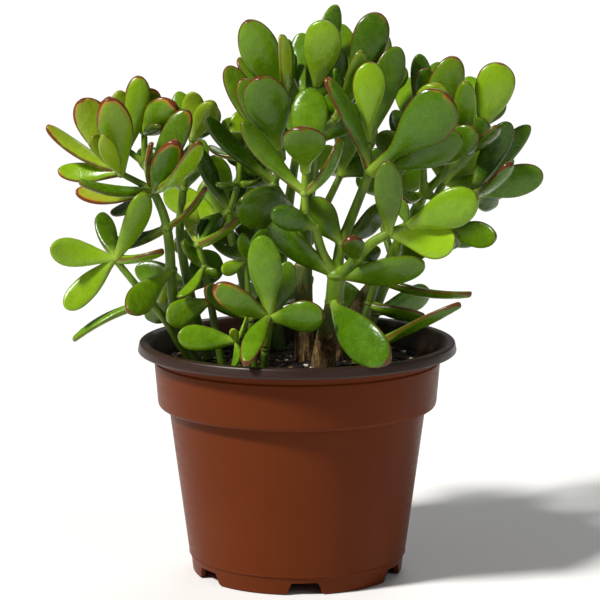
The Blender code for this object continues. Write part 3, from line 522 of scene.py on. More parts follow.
STEMS = [
    Stem("front_trunk", Skin.BARK, [
        ([(13, -14, 106), (14.5, -18, 122), (16.5, -24, 136), (19.2, -29, 149.6)], 7.0, 4.5),
    ]),
    Stem("front_fork", Skin.GREEN, [
        ([(19.1, -28.7, 148.8), (20.5, -31, 165)], 4.8, 4.8),
        ([(20.5, -31, 164), (17, -32, 169), (12.7, -33, 177), (9.2, -36, 190)], 3.3, 2.4),
        (
            [(20.5, -31, 164), (22.3, -27, 178), (26.5, -24, 189), (30.5, -22, 199), (37.2, -26, 217)],
            3.2, 2.4,
        ),
        (
            [(20.5, -31, 164), (24.5, -34, 167), (32.3, -37, 176), (39, -40, 183), (47.2, -43, 188)],
            3.2, 2.5,
        ),
    ]),
    Stem("rear_trunk", Skin.BARK, [
        ([(4, 6, 106), (3.5, 6, 140), (3.2, 6, 165)], 5.2, 4.7),
    ]),
    Stem("rear_branches", Skin.GREEN, [
        ([(3.2, 6, 164), (4, 8, 185), (6, 6, 208), (7, 2, 232), (6, 0, 250)], 4.2, 2.5),
        ([(4, 8, 184), (-3, 2, 193), (-12, -6, 208)], 2.8, 2.3),
        ([(7, 2, 231), (20, 0, 242.5)], 2.4, 2.1),
        ([(4, 8, 184), (8, 20, 205), (12, 32, 228)], 2.8, 2.1),
        ([(3.6, 7, 176), (-8, 22, 196), (-18, 36, 214)], 2.8, 2.1),
    ]),
    Stem("right_trunk", Skin.BARK, [
        ([(18, 8, 106), (24, 14, 122), (30.5, 19, 135), (38.6, 23, 146.5), (47, 27, 154.5)], 5.4, 4.2),
    ]),
    Stem("right_branches", Skin.GREEN, [
        ([(46.3, 26.8, 153.6), (56, 22, 176), (64, 12, 194), (67, 6, 203)], 3.8, 2.8),
        ([(67, 6, 202), (66.5, 0, 217.5)], 2.4, 2.0),
        ([(67, 6, 202), (78, 2, 214), (88, 0, 225.5)], 2.4, 2.0),
        ([(67, 6, 202), (80, 2, 200), (92, -4, 203)], 2.2, 1.9),
        ([(56, 22, 175), (66, 8, 180), (74, -6, 184)], 2.2, 1.9),
    ]),
    Stem("right_thin_stem", Skin.GREEN, [
        ([(31, -2, 106), (33.2, 2, 126.5), (38, 6.6, 142)], 2.8, 2.5),
    ]),
    Stem("left_stem", Skin.GREEN, [
        (
            [
                (-50, 4, 106), (-60, 0, 124), (-66, -3, 148), (-67.5, -6, 176), (-70, -8, 192),
                (-75.5, -10, 206),
            ],
            3.4, 2.3,
        ),
    ]),
    Stem("left_rear_stem", Skin.GREEN, [
        ([(-46, 14, 106), (-56, 14, 140), (-62.6, 12, 178), (-61, 13.6, 203)], 3.0, 2.2),
    ]),
    Stem("left_low_stem", Skin.GREEN, [
        (
            [(-50, -9, 106), (-62, -11, 124), (-69.5, -12, 137), (-82, -14, 153), (-95.5, -14, 170)],
            2.4, 1.9,
        ),
    ]),
    Stem("inner_left_stem", Skin.GREEN, [
        ([(-38, -14, 106), (-42, -14, 126), (-45.6, -13.4, 147)], 2.3, 2.1),
    ]),
    Stem("middle_left_stem", Skin.GREEN, [
        ([(-24, 4, 106), (-28, 2, 150), (-35, 0, 180), (-36, 0, 193)], 2.6, 1.9),
    ]),
    Stem("low_middle_stem", Skin.GREEN, [
        ([(-22, -14, 106), (-24.7, -14, 137)], 1.9, 1.8),
    ]),
    Stem("back_stem", Skin.GREEN, [
        ([(-10, 38, 106), (-12, 44, 136), (-8, 50, 166), (-4, 54, 196), (0, 52, 222)], 4.2, 2.3),
        ([(-12, 44, 135), (-30, 54, 158), (-42, 58, 180)], 2.6, 2.0),
        ([(-8, 50, 165), (12, 60, 184), (24, 62, 206)], 2.6, 2.0),
    ]),
    Stem("back_right_stem", Skin.GREEN, [
        ([(36, 34, 106), (42, 42, 132), (54, 50, 158), (70, 52, 182), (80, 46, 204)], 3.6, 2.2),
        ([(54, 50, 157), (48, 62, 176), (46, 68, 194)], 2.4, 1.9),
    ]),
]

CLUSTERS = [
    # Left shoots
    Cluster("left_crown_leaves", [
        (-75.5, -10, 206.3), (-92.5, -6, 214.5), (-80.5, 1, 219), (-90, 4, 226), (-80.8, 4, 235.5),
    ], 1.9, [
        Leaf(0, (-57, -14, 249), 15, -15, tone=Tone.DEEP, rim=Rim.SUNNED),
        Leaf(0, (-62, -26, 235), 14, 15, tone=Tone.DEEP, rim=Rim.SUNNED),
        Leaf(0, (-75, -18, 233), 9, 80, rim=Rim.SUNNED),
        Leaf(0, (-49, -34, 237), 12, 50, tone=Tone.BRIGHT, rim=Rim.BROWN),
        Leaf(0, (-112, -26, 213.5), 12, 75),
        Leaf(0, (-116, -14, 205.5), 12, 40, tone=Tone.YELLOW, rim=Rim.SUNNED),
        Leaf(0, (-99.5, 12, 191), 10, 60, tone=Tone.SHADY),
        Leaf(1, (-132, -4, 239), 11, 55, tone=Tone.LIME, rim=Rim.SUNNED),
        Leaf(1, (-113, -10, 254), 19, 10, tone=Tone.LIME, rim=Rim.SUNNED),
        Leaf(1, (-96.5, -22, 256.5), 18, 5, tone=Tone.BRIGHT, rim=Rim.SUNNED),
        Leaf(1, (-106.5, -24, 236), 9, 30, tone=Tone.LIME),
        Leaf(1, (-99.5, -30, 237.5), 9, tone=Tone.LIME),
        Leaf(1, (-126.5, -10, 215), 12, 35, tone=Tone.BRIGHT, rim=Rim.SUNNED),
        Leaf(1, (-112, 18, 236), 13, 20, tone=Tone.DEEP),
        Leaf(3, (-82.8, -4, 265.3), 14, 10, tone=Tone.BRIGHT, rim=Rim.RED),
        Leaf(3, (-94, 14, 257), 12, 20, tone=Tone.LIME, rim=Rim.BROWN),
        Leaf(3, (-104, 26, 250), 12, 30, rim=Rim.BROWN),
        Leaf(4, (-64, -10, 252), 18, 5, rim=Rim.SUNNED),
        Leaf(4, (-76.5, 12, 258.5), 14, 20, tone=Tone.DEEP, rim=Rim.SUNNED),
        Leaf(4, (-63, 18, 246), 10, 20, tone=Tone.DEEP),
        Leaf(4, (-71, -10, 240), 8, 30, tone=Tone.SHADY),
        Leaf(4, (-84, 24, 254), 12, rim=Rim.BROWN),
    ], ((0, 1), (0, 2), (2, 3), (2, 4))),
    Cluster("left_rear_leaves", [(-60.8, 13.7, 204), (-55.5, 14, 230.5)], 2.0, [
        Leaf(1, (-55.4, 8, 256), 12, tone=Tone.LIME),
        Leaf(1, (-44.3, 8, 252), 12, 10, tone=Tone.LIME),
        Leaf(1, (-64, 30, 254), 12, 10, rim=Rim.BROWN),
        Leaf(1, (-44, 34, 244), 13, -10, tone=Tone.DEEP),
        Leaf(0, (-86, 38, 222), 15, tone=Tone.DEEP),
        Leaf(0, (-52, 44, 226), 15),
        Leaf(0, (-68, 36, 232), 14, 30, tone=Tone.DEEP),
    ]),
    Cluster("left_low_leaves", [(-95.8, -14, 170.5)], 1.9, [
        Leaf(0, (-78.6, -22, 206.6), 14, 25),
        Leaf(0, (-129, -16, 177), 15, 10, tone=Tone.BRIGHT),
        Leaf(0, (-122, -22, 144.4), 14, 20, tone=Tone.BRIGHT),
        Leaf(0, (-69.6, -24, 176), 11, 75, rim=Rim.RED),
        Leaf(0, (-104, 10, 192), 12, 30, tone=Tone.DEEP),
    ]),
    Cluster("left_stem_leaves", [(-66.9, -4, 163)], 3.0, [
        Leaf(0, (-87, -40, 146.5), 15, rim=Rim.BROWN),
        Leaf(0, (-74, 12, 143), 9, 10, tone=Tone.LIME),
    ]),
    Cluster("left_side_leaves", [(-68.8, -7, 186)], 2.9, [
        Leaf(0, (-47.3, -24, 209.5), 9, 80, rim=Rim.RED),
        Leaf(0, (-103, 8, 175), 11, 60, tone=Tone.SHADY),
    ]),
    Cluster("left_drooping_leaf", [(-77, -13.4, 147)], 2.2, [
        Leaf(0, (-119, -8, 125.8), 10, 80, -0.06),
    ]),
    Cluster("left_rear_low_leaves", [(-58, 13.5, 150)], 2.8, [
        Leaf(0, (-88, 32, 158), 15, 10, tone=Tone.DEEP),
        Leaf(0, (-44, 34, 166), 19, tone=Tone.DEEP),
        Leaf(0, (-82, 30, 132), 15, tone=Tone.SHADY),
    ]),
    # Inner left shoots
    Cluster("inner_left_leaves", [(-45.8, -13.4, 148), (-49, -12, 166), (-52, -14, 178)], 1.9, [
        Leaf(0, (-68, -30, 139), 15),
        Leaf(1, (-60, -16, 180.5), 9, 65, tone=Tone.DEEP),
        Leaf(1, (-62, -22, 151.3), 9, 60),
        Leaf(1, (-41, -18, 161), 7, 40, tone=Tone.DEEP),
        Leaf(2, (-24.5, -18, 199), 12, 75, rim=Rim.RED),
        Leaf(2, (-57.5, 2, 197), 9, 20, tone=Tone.LIME),
        Leaf(2, (-47, -2, 190), 8, 20, tone=Tone.SHADY, rim=Rim.PLAIN),
        Leaf(2, (-40, -6, 194), 8, 40, tone=Tone.SHADY, rim=Rim.PLAIN),
    ]),
    Cluster("low_middle_leaves", [(-24.8, -14, 138), (-27, -13, 169)], 1.7, [
        Leaf(0, (-48, -18, 157), 12, 30, tone=Tone.DEEP, rim=Rim.BROWN),
        Leaf(1, (-39.5, -22, 164.5), 8, 10, tone=Tone.BRIGHT),
        Leaf(1, (-29, -14, 185), 7, 20, rim=Rim.PLAIN),
        Leaf(1, (-14, -6, 184), 10, 20, tone=Tone.DEEP, rim=Rim.PLAIN),
        Leaf(0, (-6, -2, 156), 14, tone=Tone.SHADY),
        Leaf(1, (-46, 8, 184), 14, 10, tone=Tone.SHADY),
    ]),
    Cluster("middle_left_leaves", [(-36, 0, 194), (-31, -2, 208.5), (-30, -1, 222)], 1.8, [
        Leaf(0, (-51.5, 2, 227.5), 10, 30, tone=Tone.SHADY),
        Leaf(0, (-28, 6, 212), 9, 10, tone=Tone.SHADY, rim=Rim.PLAIN),
        Leaf(1, (-41, -10, 210), 9, 85, tone=Tone.SHADY, rim=Rim.PLAIN),
        Leaf(1, (-19, -10, 211), 9, 85, tone=Tone.DEEP),
        Leaf(2, (-34, -6, 236), 12, 20, tone=Tone.SHADY),
        Leaf(2, (-30, 8, 246), 12, 10, tone=Tone.BRIGHT),
        Leaf(2, (-47, 10, 227), 8, 80, tone=Tone.DEEP, rim=Rim.BROWN),
        Leaf(0, (-18, 16, 172), 15, tone=Tone.SHADY, rim=Rim.PLAIN),
        Leaf(0, (-58, 8, 176), 13, 20, tone=Tone.DEEP),
    ]),
    # Front cuttings
    Cluster("front_cutting", [(-18, -37, 106), (-16.5, -43, 128), (-13.8, -48, 145)], 2.4, [
        Leaf(2, (-18.3, -52, 188), 17, 0, 0.03, rim=Rim.PLAIN),
        Leaf(2, (-42.2, -54, 162.6), 15, -15, tone=Tone.DEEP, rim=Rim.SUNNED),
        Leaf(2, (13.8, -60, 148.2), 17, 10, tone=Tone.DEEP, rim=Rim.BROWN),
        Leaf(2, (-26, -86, 127.5), 11, 30, -0.10, rim=Rim.RED),
        Leaf(2, (-4, -36, 172), 13, tone=Tone.DEEP, rim=Rim.PLAIN),
    ]),
    Cluster("small_cutting", [(-35, -38, 106), (-29.5, -41, 119), (-31.5, -42, 131.5)], 1.6, [
        Leaf(2, (-61.5, -46, 135), 14, 15, 0.0),
        Leaf(2, (-33, -46, 140), 5, tone=Tone.LIME, rim=Rim.PLAIN),
        Leaf(2, (-26, -42, 143), 6, 70, tone=Tone.BRIGHT, rim=Rim.PLAIN),
        Leaf(2, (-32.5, -62, 121.5), 7, 60, rim=Rim.PLAIN),
    ]),
    Cluster("right_cutting", [(35, -22, 106), (40, -25, 126)], 2.0, [
        Leaf(1, (84.3, -42, 151), 12, 60, 0.0, tone=Tone.DEEP, rim=Rim.BROWN),
    ]),
    # Front fork
    Cluster("trunk_ring_leaf", [(19.3, -29, 150)], 4.6, [
        Leaf(0, (46, -80, 127.8), 22, 10, -0.13, tone=Tone.DEEP, rim=Rim.BROWN, stalk=0.1),
    ]),
    Cluster("fork_leaves", [(20.5, -31, 164.5)], 4.8, [
        Leaf(0, (-14.7, -20, 191), 17, -35, tone=Tone.DEEP),
        Leaf(0, (66, -38, 171), 18, 25, tone=Tone.DEEP),
    ]),
    Cluster("fork_small_leaves", [(30.5, -36.3, 173.9)], 2.9, [
        Leaf(0, (27.1, -52, 187), 12, tone=Tone.SHADY, rim=Rim.RED),
        Leaf(0, (43, -26, 177), 8, tone=Tone.SHADY, rim=Rim.PLAIN),
    ]),
    Cluster("fork_middle_leaves", [(23, -26.5, 180.5)], 2.9, [
        Leaf(0, (5.5, -24, 203.2), 17, tone=Tone.DEEP, rim=Rim.RED),
        Leaf(0, (46, -2, 196), 15, 30, tone=Tone.SHADY, rim=Rim.PLAIN),
    ]),
    Cluster("front_shoot", [(9.2, -36, 190), (4.3, -38, 198), (3.7, -38, 208), (4.2, -38, 220)], 2.0, [
        Leaf(0, (-13, -46, 199.6), 13, 5, tone=Tone.SHADY, rim=Rim.PLAIN),
        Leaf(2, (-28.3, -32, 244.7), 13, 45, tone=Tone.DEEP),
        Leaf(2, (22.4, -36, 236), 12, 62, 0.12, tone=Tone.DEEP, rim=Rim.BROWN),
        Leaf(3, (3.3, -64, 244), 22.5, 0, 0.07, tone=Tone.DEEP, rim=Rim.BROWN, stalk=0.2),
        Leaf(3, (6.9, -28, 261.5), 19),
    ]),
    Cluster("fork_top_leaves", [(37.2, -26, 217), (36.5, -22, 233)], 2.3, [
        Leaf(0, (14.6, -32, 267.3), 13, 50, tone=Tone.DEEP, rim=Rim.RED),
        Leaf(0, (77.3, -48, 258.6), 27, 0, 0.07, tone=Tone.DEEP, rim=Rim.RED, stalk=0.3),
        Leaf(0, (84.6, -34, 236.5), 18, 10, 0.07, tone=Tone.DEEP, rim=Rim.BROWN, stalk=0.2),
        Leaf(1, (37.4, -26, 274.5), 17, 0, 0.07, tone=Tone.BRIGHT, rim=Rim.BROWN, stalk=0.15),
        Leaf(1, (52.7, -8, 281), 17, 15, tone=Tone.DEEP, rim=Rim.BROWN),
    ]),
    Cluster("right_front_leaves", [(47.2, -43, 188), (57, -42, 192)], 2.4, [
        Leaf(0, (45.2, -54, 226.8), 15, tone=Tone.DEEP),
        Leaf(0, (80.6, -54, 184), 20, -10, 0.12, tone=Tone.BRIGHT, rim=Rim.BROWN),
        Leaf(1, (91.2, -48, 208.6), 20, tone=Tone.BRIGHT),
        Leaf(1, (51.6, -50, 206), 7, rim=Rim.BROWN),
        Leaf(1, (84.1, -26, 179), 15, 10, tone=Tone.SHADY),
    ]),
    # Crown on the rear branches
    Cluster("crown_left_leaves", [
        (-12, -6, 209), (-8, -8, 223), (-9, -6, 252), (-10, -16, 229),
    ], 2.1, [
        Leaf(0, (-47.8, -16, 245.6), 11, 40, tone=Tone.SHADY),
        Leaf(0, (-32, 16, 216), 16, tone=Tone.SHADY),
        Leaf(3, (-19.5, -38, 267.5), 24, 0, 0.07, tone=Tone.DEEP, rim=Rim.RED, stalk=0.1),
        Leaf(3, (-29.4, -22, 265), 15, 10, tone=Tone.DEEP, rim=Rim.RED),
        Leaf(3, (-36.7, -6, 271), 15, 20, rim=Rim.RED),
        Leaf(2, (-25.8, -8, 295.4), 20, 5, rim=Rim.RED),
        Leaf(2, (-7.9, -16, 288.8), 12, 65, tone=Tone.LIME),
        Leaf(2, (-5, -2, 285), 10, 60, tone=Tone.DEEP),
        Leaf(2, (-31, 4, 274), 10, 50, rim=Rim.RED),
        Leaf(2, (-2, 10, 276), 10, 30, tone=Tone.DEEP),
        Leaf(2, (-22, 22, 284), 15, rim=Rim.BROWN),
    ], ((0, 1), (1, 2), (1, 3))),
    Cluster("rear_joint_leaves", [(-1, 3.7, 190.5)], 3.0, [
        Leaf(0, (-30, -22, 203), 24, tone=Tone.DEEP),
    ]),
    Cluster("crown_top_leaves", [(6, 0, 250), (10, 2, 260)], 2.4, [
        Leaf(1, (14, 4, 294.7), 20, tone=Tone.BRIGHT),
        Leaf(1, (20.7, 16, 301.3), 13, 20),
        Leaf(0, (19.9, -12, 282), 22, -10, tone=Tone.DEEP, rim=Rim.BROWN),
        Leaf(0, (2, 20, 286), 16),
        Leaf(1, (24, 32, 284), 16, tone=Tone.DEEP),
    ]),
    Cluster("crown_right_leaves", [(20, 0, 243), (30, 1, 256)], 2.0, [
        Leaf(1, (42.5, 2, 298.5), 19, tone=Tone.SHADY, rim=Rim.RED),
        Leaf(1, (47, 24, 286), 16, tone=Tone.DEEP, rim=Rim.BROWN),
        Leaf(1, (24, 30, 290), 14, 20),
        Leaf(0, (32.7, -14, 280), 12, 45),
        Leaf(0, (19.6, -16, 270), 7, 60, tone=Tone.DEEP, rim=Rim.PLAIN),
        Leaf(1, (58, 6, 268), 15, tone=Tone.DEEP, rim=Rim.BROWN),
    ]),
    Cluster("crown_back_leaves", [(12, 32, 228)], 2.1, [
        Leaf(0, (-2, 44, 264), 17, rim=Rim.BROWN),
        Leaf(0, (30, 46, 262), 17, rim=Rim.BROWN),
        Leaf(0, (36, 30, 246), 15, 10, tone=Tone.DEEP),
        Leaf(0, (8, 58, 248), 16),
    ]),
    Cluster("crown_back_left_leaves", [(-18, 36, 214)], 2.1, [
        Leaf(0, (-40, 46, 238), 16, rim=Rim.BROWN),
        Leaf(0, (-24, 30, 256), 16, tone=Tone.BRIGHT),
        Leaf(0, (-10, 60, 236), 14),
        Leaf(0, (-38, 26, 226), 14, 20, tone=Tone.DEEP),
    ]),
    # Right branches
    Cluster("right_top_leaves", [(66.5, 0, 218), (67, -2, 236)], 2.0, [
        Leaf(0, (92, -20, 239.8), 17, tone=Tone.DEEP),
        Leaf(0, (52, 18, 244), 14, 10, tone=Tone.SHADY),
        Leaf(1, (64.6, 14, 275.8), 12, tone=Tone.DEEP),
        Leaf(1, (67, 2, 269.4), 13, 10, tone=Tone.DEEP, rim=Rim.RED),
        Leaf(1, (72.6, -12, 262.6), 20, tone=Tone.BRIGHT),
        Leaf(1, (82.6, 10, 276), 18, rim=Rim.RED),
        Leaf(1, (76, 24, 270), 14, tone=Tone.DEEP),
        Leaf(1, (56, 28, 262), 14, rim=Rim.BROWN),
        Leaf(0, (42, 6, 234), 14, 10, tone=Tone.SHADY),
    ]),
    Cluster("right_outer_leaves", [(88, 0, 226), (97, 2, 238)], 2.0, [
        Leaf(0, (97.7, -8, 243.4), 15, 10, tone=Tone.DEEP),
        Leaf(0, (103, -16, 241), 12, 55, tone=Tone.SHADY),
        Leaf(0, (86.3, -14, 264.7), 12),
        Leaf(1, (106.7, -4, 272.3), 21, tone=Tone.BRIGHT, rim=Rim.RED),
        Leaf(1, (108, 14, 254), 13, tone=Tone.DEEP, rim=Rim.BROWN),
        Leaf(1, (92, 26, 262), 16),
    ]),
    Cluster("right_side_leaves", [(92, -4, 203)], 1.9, [
        Leaf(0, (129, -18, 214.8), 17, tone=Tone.DEEP, rim=Rim.RED),
        Leaf(0, (109.1, -26, 223), 13, 55, tone=Tone.DEEP, rim=Rim.RED),
        Leaf(0, (124, 8, 237.5), 12, tone=Tone.DEEP, rim=Rim.BROWN),
        Leaf(0, (111.8, -2, 241), 14, tone=Tone.SHADY),
        Leaf(0, (106, 12, 196), 12, 10, tone=Tone.SHADY, rim=Rim.PLAIN),
        Leaf(0, (116, 28, 218), 15, 10, rim=Rim.BROWN),
    ]),
    Cluster("right_low_leaves", [(74, -6, 184)], 1.9, [
        Leaf(0, (103.5, -20, 183.5), 14, tone=Tone.DEEP),
        Leaf(0, (97, 2, 177), 12, 30, tone=Tone.SHADY),
        Leaf(0, (58, 12, 168), 15, tone=Tone.SHADY),
    ]),
    Cluster("right_joint_leaf", [(66.4, 7, 201)], 2.8, [
        Leaf(0, (51.4, -20, 207.2), 12, 70, tone=Tone.DEEP, rim=Rim.BROWN),
    ]),
    Cluster("right_thin_leaves", [(38.4, 7, 143), (43, 8, 157)], 2.4, [
        Leaf(0, (68, 0, 137), 12, 50, tone=Tone.DEEP, rim=Rim.BROWN),
        Leaf(1, (92.3, -8, 150.6), 12, 70, tone=Tone.DEEP, rim=Rim.BROWN),
        Leaf(1, (22, 18, 178), 12, tone=Tone.SHADY, rim=Rim.PLAIN),
    ]),
    # Back of the plant
    Cluster("back_top_leaves", [(0, 52, 222)], 2.3, [
        Leaf(0, (-16, 66, 256), 18, rim=Rim.RED),
        Leaf(0, (16, 72, 254), 18, rim=Rim.BROWN),
        Leaf(0, (0, 84, 240), 16, tone=Tone.BRIGHT),
        Leaf(0, (24, 48, 240), 15, tone=Tone.DEEP),
    ]),
    Cluster("back_left_leaves", [(-42, 58, 180)], 2.0, [
        Leaf(0, (-74, 62, 196), 17, tone=Tone.BRIGHT, rim=Rim.BROWN),
        Leaf(0, (-52, 84, 200), 16, rim=Rim.RED),
        Leaf(0, (-46, 54, 218), 16),
        Leaf(0, (-26, 78, 204), 15, tone=Tone.DEEP),
        Leaf(0, (-68, 52, 166), 14, tone=Tone.DEEP, rim=Rim.BROWN),
    ]),
    Cluster("back_middle_leaves", [(-8, 50, 165)], 3.6, [
        Leaf(0, (-34, 62, 176), 19, tone=Tone.DEEP),
        Leaf(0, (10, 84, 174), 15),
        Leaf(0, (-20, 82, 190), 15),
    ]),
    Cluster("back_centre_leaves", [(24, 62, 206)], 2.0, [
        Leaf(0, (42, 78, 234), 17, rim=Rim.RED),
        Leaf(0, (12, 84, 218), 16, tone=Tone.BRIGHT),
        Leaf(0, (54, 66, 216), 16, tone=Tone.DEEP),
        Leaf(0, (30, 54, 246), 17, rim=Rim.BROWN),
    ]),
    Cluster("back_right_leaves", [(80, 46, 204)], 2.2, [
        Leaf(0, (110, 58, 226), 18, rim=Rim.RED),
        Leaf(0, (84, 72, 232), 17, tone=Tone.BRIGHT, rim=Rim.BROWN),
        Leaf(0, (96, 34, 240), 16, rim=Rim.RED),
        Leaf(0, (114, 42, 200), 15, tone=Tone.DEEP),
        Leaf(0, (70, 42, 242), 16, rim=Rim.BROWN),
    ]),
    Cluster("back_low_right_leaves", [(46, 68, 194)], 1.9, [
        Leaf(0, (72, 84, 206), 15, rim=Rim.BROWN),
        Leaf(0, (36, 86, 206), 15),
        Leaf(0, (62, 74, 224), 15, tone=Tone.DEEP),
    ]),
    Cluster("back_low_leaves", [(42, 42, 132)], 3.4, [
        Leaf(0, (74, 66, 140), 15, 10, tone=Tone.DEEP),
        Leaf(0, (18, 70, 144), 14, tone=Tone.DEEP),
    ]),
    Cluster("back_bottom_leaves", [(-12, 44, 135)], 3.8, [
        Leaf(0, (-36, 80, 138), 15),
        Leaf(0, (8, 82, 146), 14, tone=Tone.DEEP, rim=Rim.BROWN),
    ]),
]


def smooth_run(points: list, per_span: int = 8) -> list[Vector]:
    """Rounds a run of points.

    Args:
        points: The points that the run passes through.
        per_span: How many steps each span is cut into.

    Returns:
        Points on a Catmull-Rom curve through the given ones.
    """
    run = [Vector(p) for p in points]
    ends = [run[0] * 2 - run[1]] + run + [run[-1] * 2 - run[-2]]
    path = []
    for i in range(len(run) - 1):
        a, b, c, d = ends[i : i + 4]
        for k in range(per_span):
            t = k / per_span
            curve = (2 * a - 5 * b + 4 * c - d) * t**2 + (3 * b - a - 3 * c + d) * t**3
            path.append(0.5 * (2 * b + (c - a) * t + curve))
    path.append(run[-1])
    return path


@dataclass
class Piece:
    """One visible piece while its mesh grows from closed bodies.

    Args:
        name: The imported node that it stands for.
        verts: Points so far, in millimetres.
        faces: Faces so far.
        slots: Each face's material number.
        layers: Colour attributes, one value for each point.
    """

    name: str
    verts: list = field(default_factory=list)
    faces: list = field(default_factory=list)
    slots: list = field(default_factory=list)
    layers: dict = field(default_factory=dict)

    def add(self, verts: list, faces: list, slot: int = 0, **layers: list) -> None:
        """Adds one closed body.

        Args:
            verts: Its points.
            faces: Its faces, numbered from nought.
            slot: Its material's number.
            **layers: Colour attributes with a value for each of its points.
        """
        start = len(self.verts)
        for name, values in layers.items():
            held = self.layers.setdefault(name, [])
            held.extend([(0.0, 0.0, 0.0)] * (start - len(held)))
            held.extend(values)
        self.verts.extend(verts)
        self.faces.extend([tuple(start + i for i in face) for face in faces])
        self.slots.extend([slot] * len(faces))

    def mesh(self) -> bpy.types.Mesh:
        """Returns the mesh, in metres, with its attributes."""
        mesh = bpy.data.meshes.new(self.name)
        mesh.from_pydata([tuple(c * MM for c in v) for v in self.verts], [], self.faces)
        for name, values in self.layers.items():
            values = values + [(0.0, 0.0, 0.0)] * (len(self.verts) - len(values))
            layer = mesh.attributes.new(name, "FLOAT_COLOR", "POINT")
            layer.data.foreach_set("color", np.array([(*v, 1.0) for v in values], np.float32).ravel())
        mesh.polygons.foreach_set("material_index", self.slots)
        mesh.shade_smooth()
        return mesh


def show(name: str, mesh: bpy.types.Mesh, finishes: list[bpy.types.Material]) -> bpy.types.Object:
    """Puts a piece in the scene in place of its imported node.

    Args:
        name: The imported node's name.
        mesh: The piece's mesh.
        finishes: Materials in the order of the mesh's material numbers.

    Returns:
        The new object.
    """
    for finish in finishes:
        mesh.materials.append(finish)
    item = bpy.data.objects.new(name + "_grown", mesh)
    bpy.context.scene.collection.objects.link(item)
    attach(item, BODY)
    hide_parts(name)
    LOG.info("%s: %d faces", item.name, len(mesh.polygons))
    return item


def rings_to_faces(rings: int, sides: int) -> list[tuple]:
    """Returns the faces of a closed body made of rings between a first and a last point."""
    faces = []
    last = rings * sides + 1
    for s in range(sides):
        after = (s + 1) % sides
        faces.append((0, 1 + after, 1 + s))
        for r in range(rings - 1):
            low = 1 + r * sides
            high = low + sides
            faces.append((low + s, low + after, high + after, high + s))
        end = 1 + (rings - 1) * sides
        faces.append((end + s, end + after, last))
    return faces


def tube_body(path: list[Vector], radii: list[float], sides: int = 20) -> tuple[list, list]:
    """Makes a round-ended tube.

    Args:
        path: Its axis.
        radii: Its radius at each point of the axis.
        sides: Points round it.

    Returns:
        Points and faces.
    """
    verts = [tuple(path[0])]
    side = Vector((1, 0, 0))
    count = len(path)
    for i, point in enumerate(path):
        along = (path[min(i + 1, count - 1)] - path[max(i - 1, 0)]).normalized()
        side = (side - along * side.dot(along)).normalized()
        other = along.cross(side)
        for s in range(sides):
            angle = 2 * math.pi * s / sides
            verts.append(tuple(point + (side * math.cos(angle) + other * math.sin(angle)) * radii[i]))
    verts.append(tuple(path[-1]))
    return verts, rings_to_faces(count, sides)


def ball_body(
    centre: Vector, radius: float, along: Vector, squash: float, rings: int = 9, sides: int = 18
) -> tuple[list, list]:
    """Makes the swelling at a joint: a sphere flattened along its stem.

    Args:
        centre: Its middle.
        radius: Its radius across the stem.
        along: The stem's direction.
        squash: Its height along the stem as a share of its width.
        rings: Rings between its ends.
        sides: Points round each ring.

    Returns:
        Points and faces.
    """
    turn = along.to_track_quat("Z", "Y")
    verts = [tuple(centre - along * radius * squash)]
    for r in range(1, rings + 1):
        angle = math.pi * r / (rings + 1)
        ring, height = math.sin(angle) * radius, -math.cos(angle) * radius * squash
        for s in range(sides):
            a = 2 * math.pi * s / sides
            verts.append(tuple(centre + turn @ Vector((ring * math.cos(a), ring * math.sin(a), height))))
    verts.append(tuple(centre + along * radius * squash))
    return verts, rings_to_faces(rings, sides)


def outline(t: float, stalk: float) -> float:
    """Returns a blade's half width at t of its length, as a share of its widest, past a narrow stalk."""
    t = max(0.0, t - stalk) / (1 - stalk)
    if t < Foliage.widest:
        return Foliage.foot + (1 - Foliage.foot) * math.sin(math.pi / 2 * t / Foliage.widest) ** Foliage.swell
    reach = (min(t, 1.0) - Foliage.widest) / (1 - Foliage.widest)
    return math.sqrt(max(0.0, 1 - reach**Foliage.rounding))


def leaf_axes(base: Vector, tip: Vector, turn: float) -> tuple[float, Vector, Vector, Vector]:
    """Finds how a leaf lies.

    Args:
        base: Its joint.
        tip: Its end.
        turn: Degrees rolled about its length.

    Returns:
        Its length, and the directions along it, across it and out of its upper face.
    """
    chord = tip - base
    along = chord.normalized()
    facing = Vector((0, -1, 0))
    normal = facing - along * along.dot(facing)
    if normal.length < 0.15:
        normal = Vector((0, 0, 1)) - along * along.z
    normal.rotate(Quaternion(along, math.radians(turn)))
    normal.normalize()
    inward = Vector((-tip.x, -tip.y, 0)).normalized()
    if normal.dot(Vector((0, 0, 1)) + 0.3 * inward) < 0:
        normal.negate()
    return chord.length, along, along.cross(normal), normal


def leaf_point(base: Vector, axes: tuple, leaf: Leaf, t: float, side: float) -> Vector:
    """Returns the middle of a blade's thickness at t along it and side across it."""
    length, along, across, up = axes
    sag = leaf.arch * length * 4 * t * (1 - t)
    half = outline(t, leaf.stalk) * leaf.width / 2
    return base + along * (length * t) - up * sag + across * (half * side)


